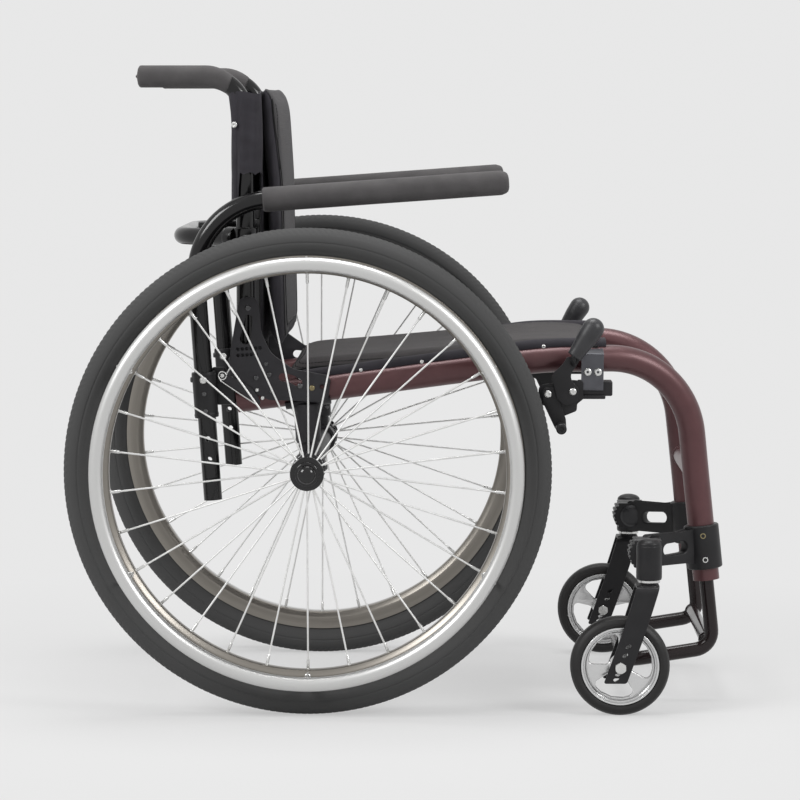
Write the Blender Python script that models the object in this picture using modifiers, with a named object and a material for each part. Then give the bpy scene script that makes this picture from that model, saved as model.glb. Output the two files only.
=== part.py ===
"""Active wheelchair with a rigid open frame.

Metres, +Z up, +X forward, +Y to the chair's left. Lengths along the chair are measured
ahead of the rear axle. At the end the whole chair is shifted along X, so that the origin
lies on the floor in the middle of its length.
"""
import math

import bmesh
import bpy
from mathutils import Matrix, Quaternion, Vector

# General fits
CLEARANCE = 0.0004
RUNNING_GAP = 0.0006
SIDES = (("right", -1), ("left", 1))
TUBE_SIDES = 12
SLIM_SIDES = 10
PIN_SIDES = 8

# Rear wheels
TYRE_RADIUS = 0.306
TYRE_WIDTH = 0.037
WHEEL_Y = 0.255
WHEEL_STEPS = 32
TYRE_HEIGHT = 0.034
RIM_RADIUS = TYRE_RADIUS - TYRE_HEIGHT
RIM_DEPTH = 0.023
RIM_WIDTH = 0.025
RIM_WALL = 0.002
RIM_WELL = 0.010
RIM_TAPER = 0.006
HANDRIM_DROP = 0.010
HANDRIM_RADIUS = RIM_RADIUS - HANDRIM_DROP
HANDRIM_TUBE = 0.018
HANDRIM_OFFSET = 0.042
HANDRIM_TABS = 6
TAB_WIDTH = 0.016
TAB_THICKNESS = 0.003
TAB_FOOT = 0.013
SPOKES = 30
SPOKE_DIAMETER = 0.0022
SPOKE_ROOT = 0.0117
HUB_FLANGE_RADIUS = 0.0215
HUB_FLANGE_THICKNESS = 0.004
HUB_BODY_RADIUS = 0.0155
HUB_OUTBOARD = 0.026
HUB_INBOARD = 0.034
AXLE_RADIUS = 0.00635
AXLE_HEAD_RADIUS = 0.0155
AXLE_HEAD_LENGTH = 0.005
BUTTON_RADIUS = 0.0118
BUTTON_LENGTH = 0.009
BUTTON_TRAVEL = 0.003
BUTTON_STEM_RADIUS = 0.0025
BUTTON_STEM_LENGTH = 0.022

# Side frames
TUBE_RADIUS = 0.017
TUBE_WALL = 0.002
SEAT_TUBE_Y = 0.190
DOWN_TUBE_Y = 0.1375
FRAME_REAR_X = -0.092
FRAME_REAR_Z = 0.392
SEAT_BEND_X = 0.300
SEAT_BEND_Z = 0.4444
FRONT_CORNER_X = 0.478
FRONT_CORNER_Y = 0.150
FRONT_CORNER_Z = 0.442
FRONT_BEND_RADIUS = 0.112
SOFT_BEND_RADIUS = 0.250
DOWN_TUBE_X = 0.5083
DOWN_TUBE_Z = 0.156
DOWN_TUBE_LEAN = math.radians(6.0)
KNEE_HEIGHT = 0.144
BORE_DEPTH_REAR = 0.055
BORE_DEPTH_FRONT = 0.150
CROSS_TUBE_RADIUS = 0.0125
CROSS_TUBE_DROP = 0.010

# Axle carrier
CAMBER_TUBE_RADIUS = 0.0159
STEM_X = -0.0035
STEM_CLAMP_LENGTH = 0.057
STEM_CLAMP_WIDTH = 0.034
STEM_CLAMP_DROP = 0.031
STEM_SADDLE = 0.006
STEM_TOP_RADIUS = 0.018
STEM_LOW_RADIUS = 0.0125
STEM_SLEEVE_LENGTH = 0.038
STEM_RING_WALL = 0.005
STEM_RING_WIDTH = 0.036
AXLE_INSERT = 0.060

# Seat and rails
RAIL_RADIUS = 0.007
RAIL_RISE = 0.001
RAIL_REAR_X = -0.018
RAIL_FRONT_X = 0.376
SEAT_REAR_X = -0.018
SEAT_FRONT_X = 0.360
SEAT_REAR_THICKNESS = 0.013
SEAT_FRONT_THICKNESS = 0.006
SEAT_OVERHANG = 0.004
SEAT_CROWN = 0.003

# Bracket plates. A corner is (x, z, radius) from the back's pivot, as shares of the length and height
BRACKET_LENGTH = 0.1285
BRACKET_HEIGHT = 0.133
BRACKET_SHAPE = ((0.1323, 0.6241, 0.0789), (-0.0482, 0.6241, 0.0789), (-0.1401, 0.1128, 0.0752),
                 (-0.1518, -0.0752, 0.0602), (-0.0545, -0.2406, 0.0902), (0.2412, -0.3534, 0.1128),
                 (0.8171, -0.3759, 0.0602), (0.8482, -0.1241, 0.0602), (0.4747, -0.0602, 0.2256),
                 (0.2568, 0.0902, 0.1880), (0.1634, 0.2932, 0.2256))
PLATE_THICKNESS = 0.005
PLATE_GAP = 0.0005
BACK_PIVOT_X = -0.081
BACK_PIVOT_Z = 0.440

ROW_COUNTS = (4, 3)
ROW_STARTS = ((-0.0080, 0.0190), (-0.0048, 0.0127))
ROW_STEP = 0.0066
ROW_FALL = 0.0003
ROW_HOLE_RADIUS = 0.0018
LONG_SLOT = (0.002, 0.033)
LONG_SLOT_LENGTH = 0.020
LONG_SLOT_RADIUS = 0.0065
LOW_SLOT = (0.045, -0.021)
LOW_SLOT_LENGTH = 0.020
LOW_SLOT_RISE = 0.0035
LOW_SLOT_RADIUS = 0.0036
END_HOLE = (0.094, -0.034)
END_HOLE_RADIUS = 0.0025

# Backrest pivot and latch
PIVOT_PIN_RADIUS = 0.004
LATCH_X = -0.109
LATCH_Z = 0.424
LATCH_TIP_X = -0.062
LATCH_TIP_Z = 0.388
LATCH_WIDTH = 0.010
LATCH_EYE_RADIUS = 0.0058
LATCH_PIN_RADIUS = 0.0025
LATCH_PLATE = 0.0015

# Backrest
POST_RADIUS = 0.0115
POST_Y = 0.185
POST_FOOT = 0.015
HANDLE_Z = 0.800
HANDLE_REAR_X = -0.2145
HANDLE_BEND_RADIUS = 0.050
GRIP_RADIUS = 0.014
GRIP_COVER_ANGLE = math.radians(37.0)
GRIP_NUB = 0.004
SLING_WALL = 0.002
SLING_BACK = 0.0168
SLING_FRONT = 0.0228
SLING_CORNER = 0.0125
SLING_TOP_Z = HANDLE_Z - 0.024
PAD_FRONT = 0.053
PAD_DEPTH = 0.033
PAD_BOTTOM_Z = 0.452
PAD_TOP_Z = 0.786
BAR_RADIUS = 0.011
BAR_Z = 0.597
SLING_SIDE_Z = BAR_Z + 0.079
SLING_REAR_Z = BAR_Z + 0.026
BAR_BOW = 0.094
BAR_SHOULDER_Y = 0.128
BAR_BEND_RADIUS = 0.055
BAR_CLAMP_WALL = 0.004
BAR_CLAMP_HEIGHT = 0.026

# Armrests
ARM_Y = 0.218
ARM_TUBE_RADIUS = 0.0115
ARM_FOOT_X = -0.121
ARM_FOOT_Z = 0.267
ARM_LEAN = math.radians(4.1)
ARM_TOP_Z = 0.641
ARM_BEND_RADIUS = 0.095
ARM_PAD_START_X = -0.057
ARM_PAD_END_X = 0.246
ARM_RISE = math.radians(4.1)
ARM_PAD_RADIUS = 0.0155
ARM_HOLES = (0.052, 0.078)
ARM_HOLE_RADIUS = 0.0025
RECEIVER_BOTTOM_Z = 0.388
RECEIVER_TOP_Z = 0.449
RECEIVER_WALL = 0.004
WEB_LOW_Z = 0.380
WEB_HIGH_Z = 0.418

# Casters
CASTER_RADIUS = 0.0625
CASTER_TYRE_WIDTH = 0.027
CASTER_TYRE_DEPTH = 0.0125
CASTER_RIM_DEPTH = 0.007
CASTER_RIM_WIDTH = 0.020
CASTER_SPOKES = 3
CASTER_SPOKE_THICKNESS = 0.008
CASTER_HUB_RADIUS = 0.013
CASTER_AXLE_RADIUS = 0.004
CASTER_Y = 0.2545
CASTER_AXIS_X = 0.428
CASTER_TRAIL = 0.036
CASTER_STEPS = 20
FORK_PLATE = 0.004
FORK_INSIDE = 0.038
FORK_LEG_WIDTH = 0.029
FORK_TOP_Z = 0.165
FORK_FOOT = 0.020
FORK_STEM_RADIUS = 0.006
FORK_WASHER_RADIUS = 0.011
FORK_KNEE_BACK = 0.014
FORK_KNEE_Z = 0.1216
FORK_SLOTS = (0.020, 0.0105, -0.0095)
BARREL_RADIUS = 0.016
BARREL_BOTTOM_Z = 0.169
BARREL_TOP_Z = 0.215
BARREL_DOME = 0.006
ARM_CLAMP_WALL = 0.0055
ARM_CLAMP_HEIGHT = 0.056
ARM_CLAMP_RISE = 0.015
ARM_BOLT_RADIUS = 0.0032
ARM_SLOT_START = 0.030
ARM_SLOT_LENGTH = 0.026
ARM_SLOT_RADIUS = 0.0085
CASTER_ARM_HEIGHT = 0.036
CASTER_ARM_THICKNESS = 0.014
CASTER_ARM_Z = 0.200
BOSS_RADIUS = 0.024
BOSS_TEETH = 12
BOSS_TOOTH = 0.0012
BOSS_Y = 0.196
BOSS_THICKNESS = 0.020
BOSS_CAP_RADIUS = 0.013

# Wheel locks
LOCK_CLAMP_X = TYRE_RADIUS + 0.052
LOCK_CLAMP_LENGTH = 0.030
LOCK_CLAMP_WALL = 0.005
LOCK_CLAMP_OPEN = 0.007
LOCK_BAR_LENGTH = 0.050
LOCK_BAR_HEIGHT = 0.020
LOCK_BAR_Z = 0.409
LOCK_PLATE_Y = 0.218
LOCK_PLATE = 0.003
LEVER_PIVOT_X = TYRE_RADIUS + 0.0266
LEVER_PIVOT_Z = 0.4052
SHOE_PIVOT_X = TYRE_RADIUS - 0.0044
SHOE_PIVOT_Z = 0.4017
SHOE_X = TYRE_RADIUS + 0.0115
SHOE_Z = 0.3603
SHOE_RADIUS = 0.0067
SHOE_WIDTH = 0.034
SHOE_BOLT_RADIUS = 0.0045
LOCK_MARGIN = 0.012
LOCK_PIN_RADIUS = 0.0035
LEVER_NECK_AHEAD = 0.001
LEVER_NECK_UP = 0.040
LEVER_ROD_RADIUS = 0.0038
LEVER_GRIP_RADIUS = 0.013
LEVER_GRIP_LENGTH = 0.052
LEVER_GRIP_OUT = 0.008
LEVER_LEAN = math.radians(34.0)

# Footrest
LEG_RADIUS = 0.0092
LEG_INSERT = 0.100
FOOT_ELBOW_Z = 0.068
FOOT_BEND_RADIUS = 0.024
FOOT_BAR_RADIUS = 0.0085
FOOT_REAR_X = 0.404
FOOT_SLOPE = math.radians(9.0)

PARTS = None
CHAIR = None


def start_scene():
    """Empty the scene and make the collection and the parent that hold the chair."""
    global PARTS, CHAIR
    for old in list(bpy.data.objects):
        bpy.data.objects.remove(old)
    PARTS = bpy.data.collections.new("active_wheelchair")
    bpy.context.scene.collection.children.link(PARTS)
    CHAIR = bpy.data.objects.new("chair", None)
    PARTS.objects.link(CHAIR)


def finish(name, colour, roughness, metallic=0.0):
    """A plain material of one colour."""
    material = bpy.data.materials.new(name)
    material.use_nodes = True
    shader = material.node_tree.nodes["Principled BSDF"]
    shader.inputs["Base Color"].default_value = (*colour, 1.0)
    shader.inputs["Roughness"].default_value = roughness
    shader.inputs["Metallic"].default_value = metallic
    return material


def named(obj, name, material):
    """Give a finished piece its name, its material and its place in the collection."""
    obj.name = name
    obj.data.name = name
    obj.data.materials.clear()
    obj.data.materials.append(material)
    for collection in list(obj.users_collection):
        collection.objects.unlink(obj)
    PARTS.objects.link(obj)
    obj.parent = CHAIR
    return obj


def new_object(data):
    """An object in the scene that holds the data."""
    obj = bpy.data.objects.new("piece", data)
    bpy.context.scene.collection.objects.link(obj)
    return obj


def as_mesh(obj):
    """Replace an object by the mesh that its curve or modifiers give, in world space."""
    bpy.context.view_layer.update()
    graph = bpy.context.evaluated_depsgraph_get()
    mesh = bpy.data.meshes.new_from_object(obj.evaluated_get(graph))
    mesh.transform(obj.matrix_world)
    work = bmesh.new()
    work.from_mesh(mesh)
    bmesh.ops.remove_doubles(work, verts=work.verts, dist=0.00001)
    bmesh.ops.recalc_face_normals(work, faces=work.faces)
    work.to_mesh(mesh)
    work.free()
    bpy.data.objects.remove(obj)
    return new_object(mesh)


def combine(base, others, operation):
    """Join or cut a mesh with others, which are used up."""
    for other in others:
        change = base.modifiers.new(operation.lower(), "BOOLEAN")
        change.operation = operation
        change.solver = "EXACT"
        change.object = other
    result = as_mesh(base)
    for other in others:
        bpy.data.objects.remove(other)
    return result


def join(base, *others):
    return combine(base, others, "UNION")


def cut(base, *others):
    return combine(base, others, "DIFFERENCE")


def centred(obj, point):
    """Move an object's origin to a point of its joint's axis."""
    obj.data.transform(Matrix.Translation(-Vector(point)))
    obj.location = point
    return obj


def smooth(obj, angle=30.0):
    """Shade round faces smooth and keep the edges of flat ones."""
    obj.data.shade_smooth()
    obj.data.set_sharp_from_angle(angle=math.radians(angle))
    return obj


def around(radius, gap, sides):
    """Radius of a round hole of so many sides whose flats clear a pin by the gap."""
    return (radius + gap) / math.cos(math.pi / sides)


def toward(direction):
    """Rotation that turns the local Z axis to a direction."""
    return Vector((0, 0, 1)).rotation_difference(Vector(direction).normalized()).to_matrix().to_4x4()


def rod(start, end, radius, end_radius=None, sides=16):
    """Round bar or cone between two points."""
    start = Vector(start)
    end = Vector(end)
    far_radius = radius if end_radius is None else end_radius
    work = bmesh.new()
    place = Matrix.Translation((start + end) / 2) @ toward(end - start)
    bmesh.ops.create_cone(work, cap_ends=True, segments=sides, radius1=radius, radius2=far_radius,
                          depth=(end - start).length, matrix=place)
    mesh = bpy.data.meshes.new("rod")
    work.to_mesh(mesh)
    work.free()
    return new_object(mesh)


def block(centre, size, bevel=0.0, turn=None):
    """Box with its edges rounded by a bevel."""
    work = bmesh.new()
    bmesh.ops.create_cube(work, size=1.0, matrix=Matrix.Diagonal((*size, 1.0)))
    mesh = bpy.data.meshes.new("block")
    work.to_mesh(mesh)
    work.free()
    obj = new_object(mesh)
    if bevel:
        edge = obj.modifiers.new("edges", "BEVEL")
        edge.width = bevel
        edge.segments = 1
        obj = as_mesh(obj)
    place = Matrix.Translation(centre)
    if turn is not None:
        place = place @ turn
    obj.data.transform(place)
    return obj


def turned(profile, steps, centre, direction, closed=False):
    """Revolve a profile of (radius, height) points, top to bottom, about a direction."""
    mesh = bpy.data.meshes.new("profile")
    count = len(profile)
    edges = [(i, i + 1) for i in range(count - 1)]
    if closed:
        edges.append((count - 1, 0))
    mesh.from_pydata([(radius, 0.0, height) for radius, height in profile], edges, [])
    obj = new_object(mesh)
    screw = obj.modifiers.new("turn", "SCREW")
    screw.steps = steps
    screw.render_steps = steps
    screw.use_merge_vertices = True
    screw.merge_threshold = 0.00001
    obj.matrix_world = Matrix.Translation(centre) @ toward(direction)
    return as_mesh(obj)


def pipe(points, radius, sides=12, closed=False):
    """Round tube along points."""
    curve = bpy.data.curves.new("pipe", "CURVE")
    curve.dimensions = "3D"
    curve.bevel_depth = radius
    curve.bevel_resolution = (sides - 4) // 2
    curve.use_fill_caps = not closed
    spline = curve.splines.new("POLY")
    spline.points.add(len(points) - 1)
    for slot, point in zip(spline.points, points):
        slot.co = (*point, 1.0)
    spline.use_cyclic_u = closed
    return as_mesh(new_object(curve))


def plate(outline, holes, thickness, y):
    """Flat plate in a plane across Y, from an outline and holes given as (x, z) points."""
    curve = bpy.data.curves.new("plate", "CURVE")
    curve.dimensions = "2D"
    curve.fill_mode = "BOTH"
    curve.extrude = thickness / 2
    for loop in (outline, *holes):
        spline = curve.splines.new("POLY")
        spline.points.add(len(loop) - 1)
        for slot, (x, z) in zip(spline.points, loop):
            slot.co = (x, z, 0.0, 1.0)
        spline.use_cyclic_u = True
    obj = new_object(curve)
    obj.matrix_world = Matrix.Translation((0, y, 0)) @ Matrix.Rotation(math.radians(90), 4, "X")
    return as_mesh(obj)


def circle(x, z, radius, sides=PIN_SIDES):
    """Round hole as (x, z) points."""
    turns = [2 * math.pi * (i + 0.5) / sides for i in range(sides)]
    return [(x + radius * math.cos(a), z + radius * math.sin(a)) for a in turns]


def slot(start, end, radius, sides=4):
    """Slot with round ends between two (x, z) points."""
    along = math.atan2(end[1] - start[1], end[0] - start[0])
    points = []
    for (x, z), first in ((end, along - math.pi / 2), (start, along + math.pi / 2)):
        for i in range(sides + 1):
            angle = first + math.pi * i / sides
            points.append((x + radius * math.cos(angle), z + radius * math.sin(angle)))
    return points


def rounded_outline(corners, step=math.radians(46)):
    """Outline of (x, z) points from corners given as (x, z, radius)."""
    points = []
    count = len(corners)
    for i, (x, z, radius) in enumerate(corners):
        before = Vector(corners[i - 1][:2])
        after = Vector(corners[(i + 1) % count][:2])
        corner = Vector((x, z))
        if radius == 0:
            points.append((x, z))
            continue
        path = arc(before.to_3d(), corner.to_3d(), after.to_3d(), radius, step)
        points.extend((p.x, p.y) for p in path)
    return points


def arc(before, corner, after, radius, step):
    """Points of the arc that rounds a corner between two straight runs."""
    back = (before - corner).normalized()
    ahead = (after - corner).normalized()
    half = back.angle(ahead) / 2
    turn = math.pi - 2 * half
    centre = corner + (back + ahead).normalized() * radius / math.sin(half)
    spoke = corner + back * radius / math.tan(half) - centre
    last = corner + ahead * radius / math.tan(half) - centre
    axis = spoke.cross(last).normalized()
    count = max(2, math.ceil(turn / step))
    return [centre + Quaternion(axis, turn * i / count) @ spoke for i in range(count + 1)]


def rounded_path(corners, radii, step=math.radians(16)):
    """Straight runs between corners, joined by arcs."""
    corners = [Vector(corner) for corner in corners]
    points = [corners[0]]
    for before, corner, after, radius in zip(corners, corners[1:], corners[2:], radii):
        points.extend(arc(before, corner, after, radius, step))
    points.append(corners[-1])
    return points


def loft(rings):
    """Closed body through rings of equal count, with its two ends capped."""
    work = bmesh.new()
    rows = [[work.verts.new(point) for point in ring] for ring in rings]
    count = len(rings[0])
    for row, following in zip(rows, rows[1:]):
        for i in range(count):
            after = (i + 1) % count
            work.faces.new((row[i], row[after], following[after], following[i]))
    work.faces.new(rows[0])
    work.faces.new(rows[-1])
    bmesh.ops.recalc_face_normals(work, faces=work.faces)
    mesh = bpy.data.meshes.new("loft")
    work.to_mesh(mesh)
    work.free()
    return new_object(mesh)


def longer(path, amount):
    """A path whose first and last runs are made longer."""
    first = path[0] + (path[0] - path[1]).normalized() * amount
    last = path[-1] + (path[-1] - path[-2]).normalized() * amount
    return [first, *path[1:-1], last]


def signed_power(value, power):
    return math.copysign(abs(value) ** power, value)


def mix(low, high, share):
    return low + (high - low) * share


def seat_tube_z(x):
    """Height of the seat tube's centre line on its straight run."""
    return mix(FRAME_REAR_Z, SEAT_BEND_Z, (x - FRAME_REAR_X) / (SEAT_BEND_X - FRAME_REAR_X))


def down_tube_point(height, sign):
    """Point of the down tube's centre line at a height above its lower end."""
    return Vector((DOWN_TUBE_X - height * math.tan(DOWN_TUBE_LEAN), sign * DOWN_TUBE_Y,
                   DOWN_TUBE_Z + height))


def frame_path(sign):
    """Centre line of a side frame, from its rear end to the foot of the down tube."""
    corners = ((FRAME_REAR_X, sign * SEAT_TUBE_Y, FRAME_REAR_Z),
               (SEAT_BEND_X, sign * SEAT_TUBE_Y, SEAT_BEND_Z),
               (FRONT_CORNER_X, sign * FRONT_CORNER_Y, FRONT_CORNER_Z),
               down_tube_point(KNEE_HEIGHT, sign),
               down_tube_point(0.0, sign))
    return rounded_path(corners, (SOFT_BEND_RADIUS, FRONT_BEND_RADIUS, SOFT_BEND_RADIUS))


def frame_sleeve(sign, gap, sides=16):
    """Solid that fills the side frame's tube and a gap round it, for cutting its seats."""
    return pipe(longer(frame_path(sign), gap), around(TUBE_RADIUS, gap, sides), sides)


def side_frame(side, sign, paint):
    """Bent frame tube, bored at both ends for the armrest spigot and the footrest leg."""
    path = frame_path(sign)
    tube = pipe(path, TUBE_RADIUS, TUBE_SIDES)
    inner = TUBE_RADIUS - TUBE_WALL
    rear = path[0]
    along = (path[1] - path[0]).normalized()
    foot = path[-1]
    up = (path[-2] - path[-1]).normalized()
    leg_bore = around(LEG_RADIUS, RUNNING_GAP, TUBE_SIDES)
    tube = cut(tube,
               rod(rear - along * 0.01, rear + along * BORE_DEPTH_REAR, inner, sides=TUBE_SIDES),
               rod(foot - up * 0.01, foot + up * BORE_DEPTH_FRONT, leg_bore, sides=TUBE_SIDES))
    return named(smooth(tube), side + "_side_frame", paint)


def cross_tube(paint):
    """Tube that joins the two down tubes under the front bend."""
    height = KNEE_HEIGHT - CROSS_TUBE_DROP
    ends = [down_tube_point(height, sign) for _, sign in SIDES]
    tube = rod(ends[0], ends[1], CROSS_TUBE_RADIUS)
    tube = cut(tube, *[frame_sleeve(sign, CLEARANCE) for _, sign in SIDES])
    return named(smooth(keep_largest(tube)), "front_cross_tube", paint)


def keep_largest(obj):
    """Drop the small offcuts that a cut leaves beyond its piece."""
    work = bmesh.new()
    work.from_mesh(obj.data)
    groups = []
    left = set(work.verts)
    while left:
        stack = [left.pop()]
        group = set(stack)
        while stack:
            for edge in stack.pop().link_edges:
                for vert in edge.verts:
                    if vert in left:
                        left.discard(vert)
                        group.add(vert)
                        stack.append(vert)
        groups.append(group)
    groups.sort(key=len)
    for group in groups[:-1]:
        bmesh.ops.delete(work, geom=list(group), context="VERTS")
    work.to_mesh(obj.data)
    work.free()
    return obj


def rail_path(sign):
    """Centre line of a seat rail, a little above the seat tube."""
    lift = Vector((0, 0, TUBE_RADIUS + RAIL_RISE))
    path = [point + lift for point in frame_path(sign)]
    return clip_path(path, RAIL_REAR_X, RAIL_FRONT_X)


def clip_path(path, low, high):
    """The stretch of a path that runs forward between two values of x."""
    points = []
    for start, end in zip(path, path[1:]):
        if end.x <= start.x or end.x < low or start.x > high:
            continue
        first = start.lerp(end, max(0.0, (low - start.x) / (end.x - start.x)))
        last = start.lerp(end, min(1.0, (high - start.x) / (end.x - start.x)))
        if not points:
            points.append(first)
        points.append(last)
    return points


def seat_rail(side, sign, plastic):
    """Strip on top of the seat tube that carries the edge of the seat."""
    rail = pipe(rail_path(sign), RAIL_RADIUS, TUBE_SIDES)
    rail = keep_largest(cut(rail, frame_sleeve(sign, CLEARANCE)))
    return named(smooth(rail), side + "_seat_rail", plastic)


def rail_at(x):
    """Centre of the left seat rail at x."""
    path = rail_path(1)
    for start, end in zip(path, path[1:]):
        if start.x <= x <= end.x:
            return start.lerp(end, (x - start.x) / (end.x - start.x))
    return path[-1] if x > path[-1].x else path[0]


def seat_sling(fabric):
    """Padded seat between the rails, crowned in the middle and drawn in at its sides."""
    rings = []
    stations = 18
    for i in range(stations + 1):
        share = i / stations
        run = mix(share, (1 - math.cos(math.pi * share)) / 2, 0.4)
        x = mix(SEAT_REAR_X, SEAT_FRONT_X, run)
        rail = rail_at(x)
        round_end = max(0.25, (1 - abs(2 * run - 1) ** 12) ** 0.5)
        half_width = rail.y + SEAT_OVERHANG - 0.004 * (1 - round_end)
        thickness = mix(SEAT_REAR_THICKNESS, SEAT_FRONT_THICKNESS, run) * round_end
        bottom = rail.z + RAIL_RADIUS + 1.5 * CLEARANCE
        ring = []
        for k in range(18):
            angle = 2 * math.pi * k / 18
            y = half_width * signed_power(math.cos(angle), 0.28)
            rise = signed_power(math.sin(angle), 0.55 if math.sin(angle) > 0 else 0.05)
            z = bottom + thickness * (0.5 + 0.5 * rise)
            if rise > 0:
                z += SEAT_CROWN * (1 - (y / half_width) ** 2) * round_end
            ring.append(Vector((x, y, z)))
        rings.append(ring)
    seat = loft(rings)
    return named(smooth(seat, 50), "seat_sling", fabric)


def ring_points(shape, steps=20):
    """Points of a closed loop, from a function of the turn angle."""
    return [shape(2 * math.pi * k / steps) for k in range(steps)]


def back_upholstery(fabric):
    """Padded back between the posts, held by a sling round both posts."""
    rings = []
    stations = 11
    centre_x = BACK_PIVOT_X + PAD_FRONT - PAD_DEPTH / 2
    for i in range(stations + 1):
        run = (1 - math.cos(math.pi * i / stations)) / 2
        z = mix(PAD_BOTTOM_Z, PAD_TOP_Z, run)
        round_end = max(0.30, (1 - abs(2 * run - 1) ** 10) ** 0.5)
        half_depth = PAD_DEPTH / 2 * round_end
        lean = -0.010 * max(0.0, (run - 0.7) / 0.3) ** 2

        def section(angle):
            y = (POST_Y + 0.004) * signed_power(math.cos(angle), 0.22)
            deep = half_depth * signed_power(math.sin(angle), 0.55)
            crown = 0.004 * (1 - (y / POST_Y) ** 2) * round_end
            return Vector((centre_x + lean + deep + crown, y, z))

        rings.append(ring_points(section))
    pad = join(loft(rings), *back_sling())
    for _, sign in SIDES:
        pad = cut(pad, post_sleeve(sign, CLEARANCE))
    return named(centred(smooth(keep_largest(pad), 50), back_axis(0)), "back_upholstery", fabric)


def back_sling():
    """Cloth band round both posts, and its rear layer that hangs lower."""
    side = POST_Y + POST_RADIUS + 2 * CLEARANCE + SLING_WALL
    rear = BACK_PIVOT_X - SLING_BACK
    front = BACK_PIVOT_X + SLING_FRONT

    def loop(inset):
        corner = SLING_CORNER - inset
        return rounded_outline(((rear + inset, inset - side, corner), (front - inset, inset - side, corner),
                                (front - inset, side - inset, corner), (rear + inset, side - inset, corner)))

    band = plate(loop(0.0), [loop(SLING_WALL)], SLING_TOP_Z - SLING_SIDE_Z, 0.0)
    upright = Matrix.Rotation(math.radians(-90), 4, "X")
    band.data.transform(Matrix.Translation((0, 0, (SLING_TOP_Z + SLING_SIDE_Z) / 2)) @ upright)
    height = SLING_SIDE_Z - SLING_REAR_Z + 2 * SLING_WALL
    middle = (rear + SLING_WALL / 2, 0, SLING_REAR_Z + height / 2)
    layer = block(middle, (0.7 * SLING_WALL, 1.96 * POST_Y, height))
    return band, layer


def back_axis(sign):
    """Point of the backrest's folding axis."""
    return Vector((BACK_PIVOT_X, sign * POST_Y, BACK_PIVOT_Z))


def post_path(sign):
    """Centre line of a back post, from its foot to the end of the push handle."""
    corners = ((BACK_PIVOT_X, sign * POST_Y, BACK_PIVOT_Z - POST_FOOT),
               (BACK_PIVOT_X, sign * POST_Y, HANDLE_Z),
               (HANDLE_REAR_X, sign * POST_Y, HANDLE_Z))
    return rounded_path(corners, (HANDLE_BEND_RADIUS,))


def post_sleeve(sign, gap, sides=SLIM_SIDES):
    """Solid round the post and a gap, for cutting what fits over it."""
    return pipe(longer(post_path(sign), gap), around(POST_RADIUS, gap, sides), sides)


def back_post(side, sign, paint):
    """Back post with its push handle, drilled for the pivot pin."""
    post = pipe(post_path(sign), POST_RADIUS, SLIM_SIDES)
    reach = Vector((0, 2 * POST_RADIUS, 0))
    axis = back_axis(sign)
    bore = around(PIVOT_PIN_RADIUS, RUNNING_GAP, PIN_SIDES)
    post = cut(post, rod(axis - reach, axis + reach, bore, sides=PIN_SIDES))
    return named(centred(smooth(post), axis), side + "_back_post", paint)


def push_grip(side, sign, foam):
    """Foam sleeve over the push handle and the start of its bend, closed at the rear."""
    corner = Vector((BACK_PIVOT_X - HANDLE_BEND_RADIUS, sign * POST_Y, HANDLE_Z - HANDLE_BEND_RADIUS))
    turns = [GRIP_COVER_ANGLE * (1 - i / 4) for i in range(5)]
    path = [corner + HANDLE_BEND_RADIUS * Vector((math.sin(a), 0, math.cos(a))) for a in turns]
    path.append(Vector((HANDLE_REAR_X - GRIP_NUB, sign * POST_Y, HANDLE_Z)))
    grip = cut(pipe(path, GRIP_RADIUS, SLIM_SIDES), post_sleeve(sign, CLEARANCE))
    return named(centred(smooth(keep_largest(grip)), back_axis(sign)), side + "_push_grip", foam)


def stabiliser_bar(paint):
    """Bowed bar behind the back, with a clamp round each post."""
    rear = BACK_PIVOT_X - BAR_BOW
    corners = [(BACK_PIVOT_X - POST_RADIUS - BAR_CLAMP_WALL / 2, -POST_Y, BAR_Z),
               (rear, -BAR_SHOULDER_Y, BAR_Z), (rear, BAR_SHOULDER_Y, BAR_Z),
               (BACK_PIVOT_X - POST_RADIUS - BAR_CLAMP_WALL / 2, POST_Y, BAR_Z)]
    bar = pipe(rounded_path(corners, (BAR_BEND_RADIUS, BAR_BEND_RADIUS)), BAR_RADIUS, SLIM_SIDES)
    half = Vector((0, 0, BAR_CLAMP_HEIGHT / 2))
    for _, sign in SIDES:
        middle = Vector((BACK_PIVOT_X, sign * POST_Y, BAR_Z))
        collar = rod(middle - half, middle + half, POST_RADIUS + BAR_CLAMP_WALL)
        bar = cut(join(bar, collar), post_sleeve(sign, CLEARANCE))
    return named(centred(smooth(keep_largest(bar)), back_axis(0)), "stabiliser_bar", paint)


def arm_axis_point(z, sign):
    """Point of the armrest's leaning post at a height."""
    return Vector((ARM_FOOT_X - (z - ARM_FOOT_Z) * math.tan(ARM_LEAN), sign * ARM_Y, z))


def arm_level_z(x):
    """Height of the arm's upper run at x."""
    return ARM_TOP_Z + (x - ARM_FOOT_X) * math.tan(ARM_RISE)


def arm_path(sign):
    """Centre line of the armrest tube from its foot to its front end."""
    top = arm_axis_point(ARM_TOP_Z, sign)
    top.z = arm_level_z(top.x)
    corners = (arm_axis_point(ARM_FOOT_Z, sign), top,
               (ARM_PAD_END_X, sign * ARM_Y, arm_level_z(ARM_PAD_END_X)))
    return rounded_path(corners, (ARM_BEND_RADIUS,))


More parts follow.
